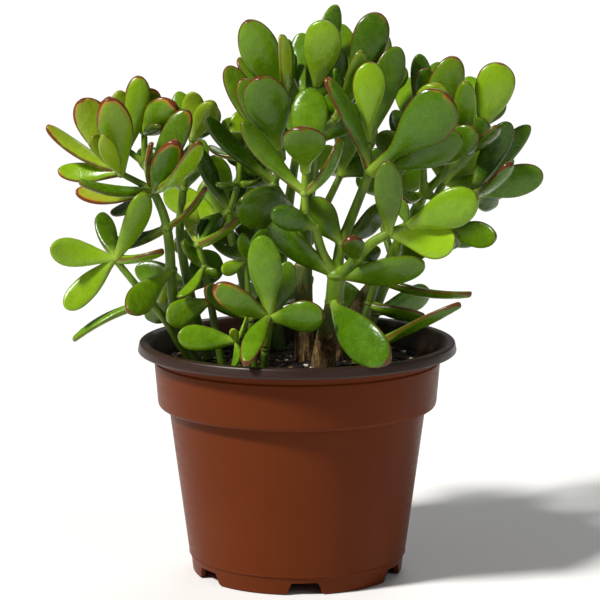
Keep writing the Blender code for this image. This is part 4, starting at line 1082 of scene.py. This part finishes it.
def settle_leaves(clusters: list[Cluster]) -> None:
    """Moves the tips of leaves that crowd each other apart in depth, a little each round."""
    leaves = [(cluster, leaf) for cluster in clusters for leaf in cluster.leaves]
    for _ in range(Foliage.settle_rounds):
        points, owners = [], []
        for number, (cluster, leaf) in enumerate(leaves):
            base = Vector(cluster.joints[leaf.joint])
            axes = leaf_axes(base, Vector(leaf.tip), leaf.turn)
            for t in Foliage.samples_along:
                for side in Foliage.samples_across:
                    points.append(leaf_point(base, axes, leaf, t, side))
                    owners.append(number)
        tree = kdtree.KDTree(len(points))
        for i, point in enumerate(points):
            tree.insert(point, i)
        tree.balance()
        pushes = {}
        for i, point in enumerate(points):
            for other, j, distance in tree.find_range(point, Foliage.clearance):
                if owners[i] < owners[j]:
                    pair = pushes.setdefault((owners[i], owners[j]), [0.0, 0.0])
                    pair[0] += point.y - other.y
                    pair[1] = max(pair[1], Foliage.clearance - distance)
        if not pushes:
            break
        moves = [0.0] * len(leaves)
        for (first, second), (depth, overlap) in pushes.items():
            step = math.copysign(overlap * Foliage.settle_share, depth)
            moves[first] += step
            moves[second] -= step
        for (_, leaf), move in zip(leaves, moves):
            x, y, z = leaf.tip
            y += max(-Foliage.settle_step, min(Foliage.settle_step, move))
            leaf.tip = (x, max(-Foliage.depth_limit, min(Foliage.depth_limit, y)), z)


@dataclass
class Foliage:
    """All the groups of leaves: thick blades that clasp the ring at each joint."""

    leaf_finish: bpy.types.Material
    stem_finish: bpy.types.Material
    thickness: float = 4.6
    slimmest: float = 0.42
    thin_below: float = 2.2
    ripple: float = 0.025
    bow: float = 0.025
    twist: float = 0.16
    cup: float = 0.07
    rings: int = 26
    sides: int = 22
    ring_swell: float = 0.6
    ring_height: float = 1.6
    ring_squash: float = 0.8
    shoot_taper: float = 0.15
    seed: int = 7
    widest: ClassVar[float] = 0.66
    foot: ClassVar[float] = 0.26
    swell: ClassVar[float] = 1.55
    rounding: ClassVar[float] = 2.2
    samples_along: ClassVar[tuple] = (0.3, 0.45, 0.6, 0.75, 0.88, 1.0)
    samples_across: ClassVar[tuple] = (-0.8, -0.4, 0.0, 0.4, 0.8)
    clearance: ClassVar[float] = 5.6
    settle_rounds: ClassVar[int] = 70
    settle_share: ClassVar[float] = 0.35
    settle_step: ClassVar[float] = 2.0
    depth_limit: ClassVar[float] = 86.0

    def blade(self, base: Vector, leaf: Leaf, draw: np.random.Generator) -> tuple[list, list, list, list]:
        """Makes one leaf.

        Args:
            base: Its joint.
            leaf: Its tip, width and looks.
            draw: The source of its small irregularities.

        Returns:
            Points, faces, and the two colour attributes of each point.
        """
        axes = leaf_axes(base, Vector(leaf.tip), leaf.turn)
        length, along, across, up = axes
        bow = draw.uniform(-self.bow, self.bow) * length
        twist = draw.uniform(-self.twist, self.twist)
        wave = draw.uniform(0, 2 * math.pi)
        cup = self.cup * draw.uniform(0.5, 1.3)
        # The shade holds painted shade and painted light as well as the leaf's own tone.
        shade, yellow = leaf.tone.value
        shade = min(max(shade + draw.uniform(-0.09, 0.09), 0.02), 0.98)
        yellow = min(max(yellow + draw.uniform(-0.05, 0.08), 0.0), 1.0)
        red = min(leaf.rim.value * draw.uniform(0.75, 1.1), 1.0)
        tint = (shade, yellow, red)
        verts, place = [tuple(base)], [(0.0, 0.0, 0.5)]
        for r in range(1, self.rings + 1):
            t = 0.5 * (1 - math.cos(math.pi * r / (self.rings + 1)))
            middle = leaf_point(base, axes, leaf, t, 0.0) + across * (bow * 4 * t * (1 - t))
            half = outline(t, leaf.stalk) * leaf.width / 2
            roll = Quaternion(along, twist * (t - 0.4))
            wide, lift = roll @ across, roll @ up
            thick = min(self.thickness, leaf.width * self.slimmest) / 2
            thick *= (1.05 - 0.4 * t) * min(1.0, half / self.thin_below) ** 0.5
            ripple = 1 + self.ripple * math.sin(9 * t + wave)
            for s in range(self.sides):
                angle = 2 * math.pi * s / self.sides
                x = math.copysign(abs(math.cos(angle)) ** 0.85, math.cos(angle))
                z = math.sin(angle)
                rise = thick * z * 1.15 + cup * half * x * x * min(1.0, t * 2.5)
                verts.append(tuple(middle + wide * (half * x * ripple) + lift * rise))
                edge = min((1 - abs(x)) * half, (1 - t) * length * 0.9)
                upper = 0.5 + 0.5 * max(-1.0, min(1.0, z * 3))
                place.append((t, max(0.0, 1 - edge / WaxyLeaf.rim_mm), upper))
        verts.append(tuple(leaf_point(base, axes, leaf, 1.0, 0.0)))
        place.append((1.0, 1.0, 0.5))
        return verts, rings_to_faces(self.rings, self.sides), place, [tint] * len(verts)

    def build(self, cluster: Cluster, draw: np.random.Generator) -> bpy.types.Object:
        """Makes one group of leaves with its shoots and rings, and dresses it.

        Args:
            cluster: The group.
            draw: The source of small irregularities.

        Returns:
            The finished piece.
        """
        piece = Piece(cluster.name)
        joints = [Vector(p) for p in cluster.joints]
        links = cluster.links or [(i, i + 1) for i in range(len(joints) - 1)]
        for leaf in cluster.leaves:
            verts, faces, place, tint = self.blade(joints[leaf.joint], leaf, draw)
            piece.add(verts, faces, 0, leaf_place=place, leaf_tint=tint)
        for first, last in links:
            path = smooth_run([joints[first], joints[last]], 6)
            radii = [cluster.radius * (1 - self.shoot_taper * i / (len(path) - 1)) for i in range(len(path))]
            verts, faces = tube_body(path, radii)
            piece.add(verts, faces, 1, stem_place=[(0.5, 0.0, 0.0)] * len(verts))
        for i, joint in enumerate(joints):
            near = [b if a == i else a for a, b in links if i in (a, b)]
            along = (joints[near[0]] - joint).normalized() if near else Vector((0, 0, 1))
            leafy = 1.0 if any(leaf.joint == i for leaf in cluster.leaves) else 0.3
            verts, faces = ball_body(joint, cluster.radius + self.ring_swell * leafy, along, self.ring_squash)
            heights = [abs((Vector(v) - joint).dot(along)) / self.ring_height for v in verts]
            ring = [(0.5, 0.55 * leafy * (1 - min(1.0, height)), 0.0) for height in heights]
            piece.add(verts, faces, 1, stem_place=ring)
        return show(cluster.name, piece.mesh(), [self.leaf_finish, self.stem_finish])

    def build_all(self, clusters: list[Cluster]) -> None:
        """Settles the leaves and makes every group."""
        settle_leaves(clusters)
        draw = np.random.default_rng(self.seed)
        for cluster in clusters:
            self.build(cluster, draw)


@dataclass
class Stems:
    """Trunks and green stems, each fused from its runs and smoothed where they fork."""

    green_finish: bpy.types.Material
    bark_finish: bpy.types.Material
    voxel: float = 0.55
    quick_voxel: float = 0.9
    smoothing: int = 8
    bark_relief: float = 0.55
    bark_grain: Point = (0.75, 0.75, 0.1)
    ring_every: float = 17.0
    ring_start: float = 4.0
    ring_half: float = 1.3
    ring_swell: float = 0.25
    ring_faint: float = 0.35
    top_ring: float = 0.93

    def fused(self, stem: Stem) -> bpy.types.Mesh:
        """Returns the stem's runs as one smooth closed mesh."""
        piece = Piece(stem.name)
        for points, start, end in stem.runs:
            path = smooth_run(points)
            last = len(path) - 1
            radii = [start + (end - start) * i / last for i in range(len(path))]
            piece.add(*tube_body(path, radii))
        rough = bpy.data.objects.new(stem.name + "_rough", piece.mesh())
        bpy.context.scene.collection.objects.link(rough)
        join = rough.modifiers.new("fuse", "REMESH")
        join.mode = "VOXEL"
        join.voxel_size = self.voxel * MM
        ease = rough.modifiers.new("ease", "SMOOTH")
        ease.iterations = self.smoothing
        graph = bpy.context.evaluated_depsgraph_get()
        mesh = bpy.data.meshes.new_from_object(rough.evaluated_get(graph))
        bpy.data.objects.remove(rough)
        mesh.name = stem.name
        return mesh

    def axis(self, stem: Stem) -> tuple[kdtree.KDTree, list[tuple]]:
        """Returns a finder for the stem's axis, and each axis point's height share and distance run."""
        marks = []
        for number, (points, _, _) in enumerate(stem.runs):
            path = smooth_run(points, 16)
            run = 0.0
            for i, point in enumerate(path):
                run += (point - path[i - 1]).length if i else 0.0
                marks.append((point, i / (len(path) - 1), run, number))
        tree = kdtree.KDTree(len(marks))
        for i, mark in enumerate(marks):
            tree.insert(mark[0], i)
        tree.balance()
        return tree, marks

    def grow_details(self, mesh: bpy.types.Mesh, stem: Stem) -> None:
        """Raises the rings and the bark's ridges, and writes where each point lies on its stem.

        Args:
            mesh: The fused mesh, which is changed.
            stem: The stem that it was made from.
        """
        tree, marks = self.axis(stem)
        woody = stem.skin is Skin.BARK
        place = []
        normals = [v.normal.copy() for v in mesh.vertices]
        for vert, normal in zip(mesh.vertices, normals):
            point = vert.co / MM
            _, i, _ = tree.find(point)
            _, share, run, number = marks[i]
            near, push = 0.0, 0.0
            if woody:
                offset = abs((run + self.ring_start) % self.ring_every - self.ring_every / 2)
                near = math.exp(-((offset / self.ring_half) ** 2)) * self.ring_faint
                near = max(near, (share - self.top_ring) / (1 - self.top_ring))
                grain = noise.noise(point * Vector(self.bark_grain))
                push = self.ring_swell * near + self.bark_relief * grain * (1 - share * 0.5)
            vert.co += normal * (push * MM)
            place.append((share, near * 0.8, 0.0, 1.0))
        layer = mesh.attributes.new("stem_place", "FLOAT_COLOR", "POINT")
        layer.data.foreach_set("color", np.array(place, np.float32).ravel())
        mesh.shade_smooth()

    def build(self, stem: Stem) -> bpy.types.Object:
        """Makes one stem and dresses it."""
        mesh = self.fused(stem)
        self.grow_details(mesh, stem)
        finish = self.bark_finish if stem.skin is Skin.BARK else self.green_finish
        return show(stem.name, mesh, [finish])


def filleted(profile: list[tuple], steps: int = 4) -> list[tuple]:
    """Rounds a profile's corners.

    Args:
        profile: Points as radius, height and the corner's rounding length.
        steps: Points along each rounded corner.

    Returns:
        The rounded profile as radius and height.
    """
    out = []
    for i, (r, z, size) in enumerate(profile):
        here = Vector((r, z))
        if size <= 0 or i in (0, len(profile) - 1):
            out.append((r, z))
            continue
        before = Vector(profile[i - 1][:2]) - here
        after = Vector(profile[i + 1][:2]) - here
        reach = min(size, before.length * 0.48, after.length * 0.48)
        start = here + before.normalized() * reach
        end = here + after.normalized() * reach
        for k in range(steps + 1):
            t = k / steps
            out.append(tuple(start * (1 - t) ** 2 + here * (2 * t * (1 - t)) + end * t**2))
    return out


def turned_mesh(name: str, profile: list[tuple], steps: int) -> bpy.types.Mesh:
    """Returns a closed round mesh whose profile starts and ends on the axis."""
    inner = profile[1:-1]
    verts = [(0.0, 0.0, profile[0][1])]
    for r, z in inner:
        for s in range(steps):
            a = 2 * math.pi * s / steps
            verts.append((r * math.cos(a), r * math.sin(a), z))
    verts.append((0.0, 0.0, profile[-1][1]))
    piece = Piece(name)
    piece.add(verts, rings_to_faces(len(inner), steps))
    mesh = piece.mesh()
    shape = bmesh.new()
    shape.from_mesh(mesh)
    bmesh.ops.recalc_face_normals(shape, faces=shape.faces)
    shape.to_mesh(mesh)
    shape.free()
    return mesh


@dataclass
class Pot:
    """The grower's pot: one moulding in two colours, with a notched foot and a rolled lip."""

    body_finish: bpy.types.Material
    lip_finish: bpy.types.Material
    height: float = 125.0
    lip_radius: float = 85.0
    foot_radius: float = 56.3
    wall: float = 1.6
    wall_taper: float = 0.128
    body_radius: float = 57.0
    foot_height: float = 9.9
    floor_underside: float = 7.2
    floor_top: float = 9.0
    shoulder: float = 90.0
    band: float = 96.0
    band_radius: float = 74.0
    neck: float = 114.2
    notches: int = 6
    notch_width: float = 15.0
    notch_mouth: float = 23.0
    notch_height: float = 6.5
    notch_turn: float = 4.0
    notch_flare: float = 3.2
    notch_swell: float = 0.9
    notch_depth: float = 8.0
    flare_steps: int = 6
    drain_radius: float = 4.0
    drain_circle: float = 40.0
    crease: float = 35.0
    steps: int = 192

    def wall_radius(self, z: float) -> float:
        """Returns the tapered wall's outer radius at a height."""
        return self.body_radius + self.wall_taper * z

    def profile(self) -> list[tuple]:
        """Returns the pot's section from the middle of its floor, up inside, over the lip and down."""
        inner = self.band_radius - self.wall
        corners = [
            (0, self.floor_top, 0),
            (self.wall_radius(self.floor_top) - self.wall, self.floor_top, 2),
            (self.wall_radius(self.shoulder) - self.wall, self.shoulder + 1, 4),
            (inner - 0.6, self.band + 2, 4),
            (inner + 2.0, self.neck, 2),
            (self.lip_radius - 7.0, self.height - 2.0, 2),
            (self.lip_radius - 5.4, self.height - 0.1, 1.6),
            (self.lip_radius - 1.0, self.height, 1.3),
            (self.lip_radius, self.height - 5.0, 0.7),
            (self.lip_radius - 0.9, self.height - 5.7, 0.5),
            (self.band_radius + 2.4, self.neck + 4.6, 1.2),
            (self.band_radius + 1.6, self.neck + 0.9, 0.4),
            (self.band_radius + 2.3, self.neck + 0.1, 0.4),
            (self.band_radius + 0.3, self.shoulder + 0.3, 4.2),
            (self.wall_radius(self.shoulder) + 1.0, self.shoulder - 0.2, 0.3),
            (self.wall_radius(self.shoulder) + 0.2, self.shoulder + 0.7, 0.2),
            (self.wall_radius(self.shoulder), self.shoulder - 1.6, 0.3),
            (self.wall_radius(self.foot_height), self.foot_height + 0.5, 0.2),
            (self.wall_radius(self.foot_height) + 0.22, self.foot_height + 0.1, 0.15),
            (self.foot_radius + 1.1, self.foot_height - 0.4, 0.3),
            (self.foot_radius, 0, 0.9),
            (self.foot_radius - 2.2, 0, 0.5),
            (self.foot_radius - 2.6, self.floor_underside, 0.6),
            (0, self.floor_underside, 0),
        ]
        return filleted(corners)

    def notch(self) -> bmesh.types.BMesh:
        """Returns one drainage notch: a flat-topped arch whose sides flare in a curve at the ground."""
        half, mouth, top = self.notch_width / 2, self.notch_mouth / 2, self.notch_height
        side = [(mouth, -2.0), (mouth, 0.0)]
        flare = mouth - half - self.notch_swell
        for k in range(1, self.flare_steps + 1):
            angle = math.pi / 2 * k / self.flare_steps
            side.append((mouth - flare * math.sin(angle), self.notch_flare * (1 - math.cos(angle))))
        side += [(half - 0.2, top - 0.9), (half - 0.5, top - 0.3), (half - 1.1, top)]
        edge = side + [(-x, z) for x, z in reversed(side)]
        shape = bmesh.new()
        near = -self.notch_depth / 2 * MM
        front = shape.faces.new([shape.verts.new((x * MM, near, z * MM)) for x, z in edge])
        swept = bmesh.ops.extrude_face_region(shape, geom=[front])["geom"]
        far = [item for item in swept if isinstance(item, bmesh.types.BMVert)]
        bmesh.ops.translate(shape, verts=far, vec=(0, self.notch_depth * MM, 0))
        bmesh.ops.recalc_face_normals(shape, faces=shape.faces)
        return shape

    def drain(self) -> bmesh.types.BMesh:
        """Returns one drain hole's cutter."""
        shape = bmesh.new()
        reach = self.drain_radius * MM
        size = {"radius1": reach, "radius2": reach, "depth": self.notch_depth * MM}
        bmesh.ops.create_cone(shape, cap_ends=True, segments=40, **size)
        return shape

    def cutter(self, shape: bmesh.types.BMesh, place: Vector, turn: float) -> bpy.types.Object:
        """Makes a cutter from its shape.

        Args:
            shape: Its shape about its own middle, which is used up.
            place: Where its middle goes.
            turn: Its turn about the vertical.

        Returns:
            The cutter.
        """
        bmesh.ops.rotate(shape, verts=shape.verts, cent=(0, 0, 0), matrix=Matrix.Rotation(turn, 3, "Z"))
        bmesh.ops.translate(shape, verts=shape.verts, vec=place * MM)
        mesh = bpy.data.meshes.new("cutter")
        shape.to_mesh(mesh)
        shape.free()
        return bpy.data.objects.new("cutter", mesh)

    def build(self) -> bpy.types.Object:
        """Makes the pot with its notches and drain holes, and dresses it in two colours."""
        blank = bpy.data.objects.new("pot_blank", turned_mesh("pot", self.profile(), self.steps))
        bpy.context.scene.collection.objects.link(blank)
        cutters = bpy.data.collections.new("pot_cutters")
        bpy.context.scene.collection.children.link(cutters)
        step = 2 * math.pi / self.notches
        for i in range(self.notches):
            turn = math.radians(self.notch_turn) + i * step
            out = Vector((math.sin(turn), -math.cos(turn), 0)) * (self.foot_radius - 1)
            cutters.objects.link(self.cutter(self.notch(), out, turn))
            turn += step / 2
            out = Vector((math.sin(turn), -math.cos(turn), 0)) * self.drain_circle
            cutters.objects.link(self.cutter(self.drain(), out + Vector((0, 0, self.floor_top)), turn))
        cut = blank.modifiers.new("openings", "BOOLEAN")
        cut.operation = "DIFFERENCE"
        cut.operand_type = "COLLECTION"
        cut.collection = cutters
        cut.solver = "EXACT"
        graph = bpy.context.evaluated_depsgraph_get()
        mesh = bpy.data.meshes.new_from_object(blank.evaluated_get(graph))
        for item in [blank, *cutters.objects]:
            bpy.data.objects.remove(item)
        bpy.data.collections.remove(cutters)
        mesh.materials.clear()
        for face in mesh.polygons:
            radius = math.hypot(face.center.x, face.center.y) / MM
            inside = face.normal.x * face.center.x + face.normal.y * face.center.y < 0
            high = face.center.z / MM
            lining = inside and high > self.floor_top and radius > self.foot_radius - 2.0
            face.material_index = 1 if high > self.neck + 4.9 or lining else 0
        mesh.shade_smooth()
        mesh.set_sharp_from_angle(angle=math.radians(self.crease))
        return show("pot", mesh, [self.body_finish, self.lip_finish])


@dataclass
class Soil:
    """The potting mix: a lumpy surface with loose crumbs, bark chips and perlite on it."""

    soil_finish: bpy.types.Material
    chip_finish: bpy.types.Material
    perlite_finish: bpy.types.Material
    pot: Pot
    top: float = 113.0
    radius: float = 73.9
    gap: float = 0.3
    rings: int = 60
    steps: int = 160
    sunk: float = 0.9
    waves: tuple = ((0.05, 3.0, 1.3), (0.22, 9.0, 0.9), (0.8, 5.0, 0.45))
    rim_drop: float = 2.4
    crumbs: int = 900
    crumb_margin: float = 4.5
    perlite_every: int = 14
    chip_every: int = 9
    seed: int = 21

    def height(self, x: float, y: float) -> float:
        """Returns the surface's height at a place: broad swells, then lumps, then grit."""
        height = self.top - self.sunk
        for pitch, layer, rise in self.waves:
            height += noise.noise(Vector((x * pitch, y * pitch, layer))) * rise
        return height

    def bed(self) -> tuple[list, list]:
        """Returns the bed's points and faces: its lumpy top, its sides and its underside."""
        verts = [(0.0, 0.0, self.height(0, 0))]
        for r in range(1, self.rings + 1):
            reach = self.radius * r / self.rings
            for s in range(self.steps):
                a = 2 * math.pi * s / self.steps
                x, y = reach * math.cos(a), reach * math.sin(a)
                verts.append((x, y, self.height(x, y) if r < self.rings else self.top - self.rim_drop))
        slack = self.pot.wall + self.gap
        lower = [
            (self.pot.band_radius - slack - 0.8, self.pot.band + 2),
            (self.pot.wall_radius(self.pot.shoulder) - slack, self.pot.shoulder + 0.6),
            (self.pot.wall_radius(self.pot.floor_top) - slack, self.pot.floor_top + self.gap),
        ]
        for reach, z in lower:
            for s in range(self.steps):
                a = 2 * math.pi * s / self.steps
                verts.append((reach * math.cos(a), reach * math.sin(a), z))
        verts.append((0.0, 0.0, lower[-1][1]))
        faces = [tuple(reversed(f)) for f in rings_to_faces(self.rings + len(lower), self.steps)]
        return verts, faces

    def crumb(self, draw: np.random.Generator, size: float, flat: float) -> tuple[list, list]:
        """Makes one loose bit on the surface.

        Args:
            draw: The source of its place and shape.
            size: Its radius.
            flat: Its height as a share of its width.

        Returns:
            Points and faces.
        """
        reach = (self.radius - self.crumb_margin) * math.sqrt(draw.uniform(0, 1))
        angle = draw.uniform(0, 2 * math.pi)
        x, y = reach * math.cos(angle), reach * math.sin(angle)
        centre = Vector((x, y, self.height(x, y) + size * flat * 0.35))
        turn = Quaternion(Vector((0, 0, 1)), draw.uniform(0, 6.28))
        turn @= Quaternion(Vector((1, 0, 0)), draw.uniform(-0.5, 0.5))
        long = draw.uniform(1.0, 1.9)
        verts, faces = ball_body(Vector((0, 0, 0)), size, Vector((0, 0, 1)), flat, 4, 7)
        shaped = []
        for v in verts:
            rough = Vector(v) * draw.uniform(0.75, 1.2)
            shaped.append(tuple(centre + turn @ Vector((rough.x * long, rough.y, rough.z))))
        return shaped, faces

    def build(self) -> bpy.types.Object:
        """Makes the bed and its loose bits, and dresses them."""
        piece = Piece("soil")
        piece.add(*self.bed())
        draw = np.random.default_rng(self.seed)
        for i in range(self.crumbs):
            if i % self.perlite_every == 0:
                piece.add(*self.crumb(draw, draw.uniform(0.5, 1.1), 0.8), 2)
            elif i % self.chip_every == 0:
                piece.add(*self.crumb(draw, draw.uniform(1.0, 2.1), 0.35), 1)
            else:
                piece.add(*self.crumb(draw, draw.uniform(0.5, 1.5), 0.7), 0)
        mesh = piece.mesh()
        return show("soil", mesh, [self.soil_finish, self.chip_finish, self.perlite_finish])


@dataclass
class Studio:
    """A pale floor, soft lamps and the camera, in metres."""

    floor_colour: str = "#f1f1f0"
    floor_radius: float = 12.0
    floor_drop: float = 0.0002
    sky: float = 0.13
    camera_place: Point = (0.00145, -1.3, 0.360)
    camera_pitch: float = 0.163
    lens: float = 148.5

    def floor(self) -> None:
        """Lays the floor that the pot stands on."""
        shape = bmesh.new()
        bmesh.ops.create_circle(shape, cap_ends=True, segments=96, radius=self.floor_radius)
        mesh = bpy.data.meshes.new("studio_floor")
        shape.to_mesh(mesh)
        shape.free()
        material = bpy.data.materials.new("studio_floor_matt_paint")
        material.use_nodes = True
        shader = material.node_tree.nodes["Principled BSDF"]
        shader.inputs["Base Color"].default_value = linear(self.floor_colour)
        shader.inputs["Roughness"].default_value = 0.9
        mesh.materials.append(material)
        item = bpy.data.objects.new("studio_floor", mesh)
        item.location.z = -self.floor_drop
        bpy.context.scene.collection.objects.link(item)

    def sun(self, name: str, place: Point, width: float, power: float, colour: str) -> None:
        """Hangs one large distant softbox that faces the plant.

        Args:
            name: What it does.
            place: Its direction, as a point in metres.
            width: How wide it looks from the plant, in degrees.
            power: Watts on each square metre.
            colour: Its light.
        """
        light = bpy.data.lights.new(name, "SUN")
        light.angle = math.radians(width)
        light.energy = power
        light.color = linear(colour)[:3]
        item = bpy.data.objects.new(name, light)
        item.location = place
        item.rotation_euler = (-Vector(place)).to_track_quat("-Z", "Y").to_euler()
        bpy.context.scene.collection.objects.link(item)

    def build(self) -> None:
        """Sets up the floor, the lamps, the sky and the camera."""
        scene = bpy.context.scene
        self.floor()
        self.sun("key_lamp", (-0.95, -0.60, 1.15), 9.0, 4.2, "#fffdf9")
        self.sun("fill_lamp", (1.0, -0.9, 0.8), 40.0, 0.25, "#f4f8ff")
        self.sun("back_lamp", (0.3, 1.2, 1.3), 30.0, 0.6, "#ffffff")
        world = bpy.data.worlds.new("studio_light")
        world.use_nodes = True
        sky = world.node_tree.nodes["Background"]
        sky.inputs["Color"].default_value = (1.0, 1.0, 1.0, 1.0)
        sky.inputs["Strength"].default_value = self.sky
        scene.world = world
        scene.view_settings.view_transform = "Standard"
        lens = bpy.data.cameras.new("camera")
        lens.lens = self.lens
        lens.sensor_width = 36.0
        lens.clip_start = 0.01
        item = bpy.data.objects.new("camera", lens)
        item.location = self.camera_place
        item.rotation_euler = (math.pi / 2 - self.camera_pitch, 0, 0)
        scene.collection.objects.link(item)
        scene.camera = item


def main() -> None:
    """Builds the pot, the soil, the stems and the leaves, and lights them."""
    logging.basicConfig(level=logging.INFO, format="%(message)s")
    leaf_skin = WaxyLeaf().make()
    young_stem = GreenShoot().make()
    old_stem = TrunkBark().make()
    lip = {"colour": "#301a12", "deep": "#2a170f", "scuff": "#4f352b"}
    lip_plastic = MouldedPolypropylene("pot_lip_moulded_polypropylene", 0.36, gleam=0.4, **lip)
    pot = Pot(MouldedPolypropylene().make(), lip_plastic.make())
    pot.build()
    chips = Granule("composted_bark_chip", gleam=0.3, light="#7a5a38", dark="#3d2a19")
    Soil(PeatSoil().make(), chips.make(), Granule().make(), pot).build()
    stems = Stems(young_stem, old_stem)
    for stem in STEMS:
        stems.build(stem)
    Foliage(leaf_skin, young_stem).build_all(CLUSTERS)
    Studio().build()


if __name__ == "__main__":
    main()
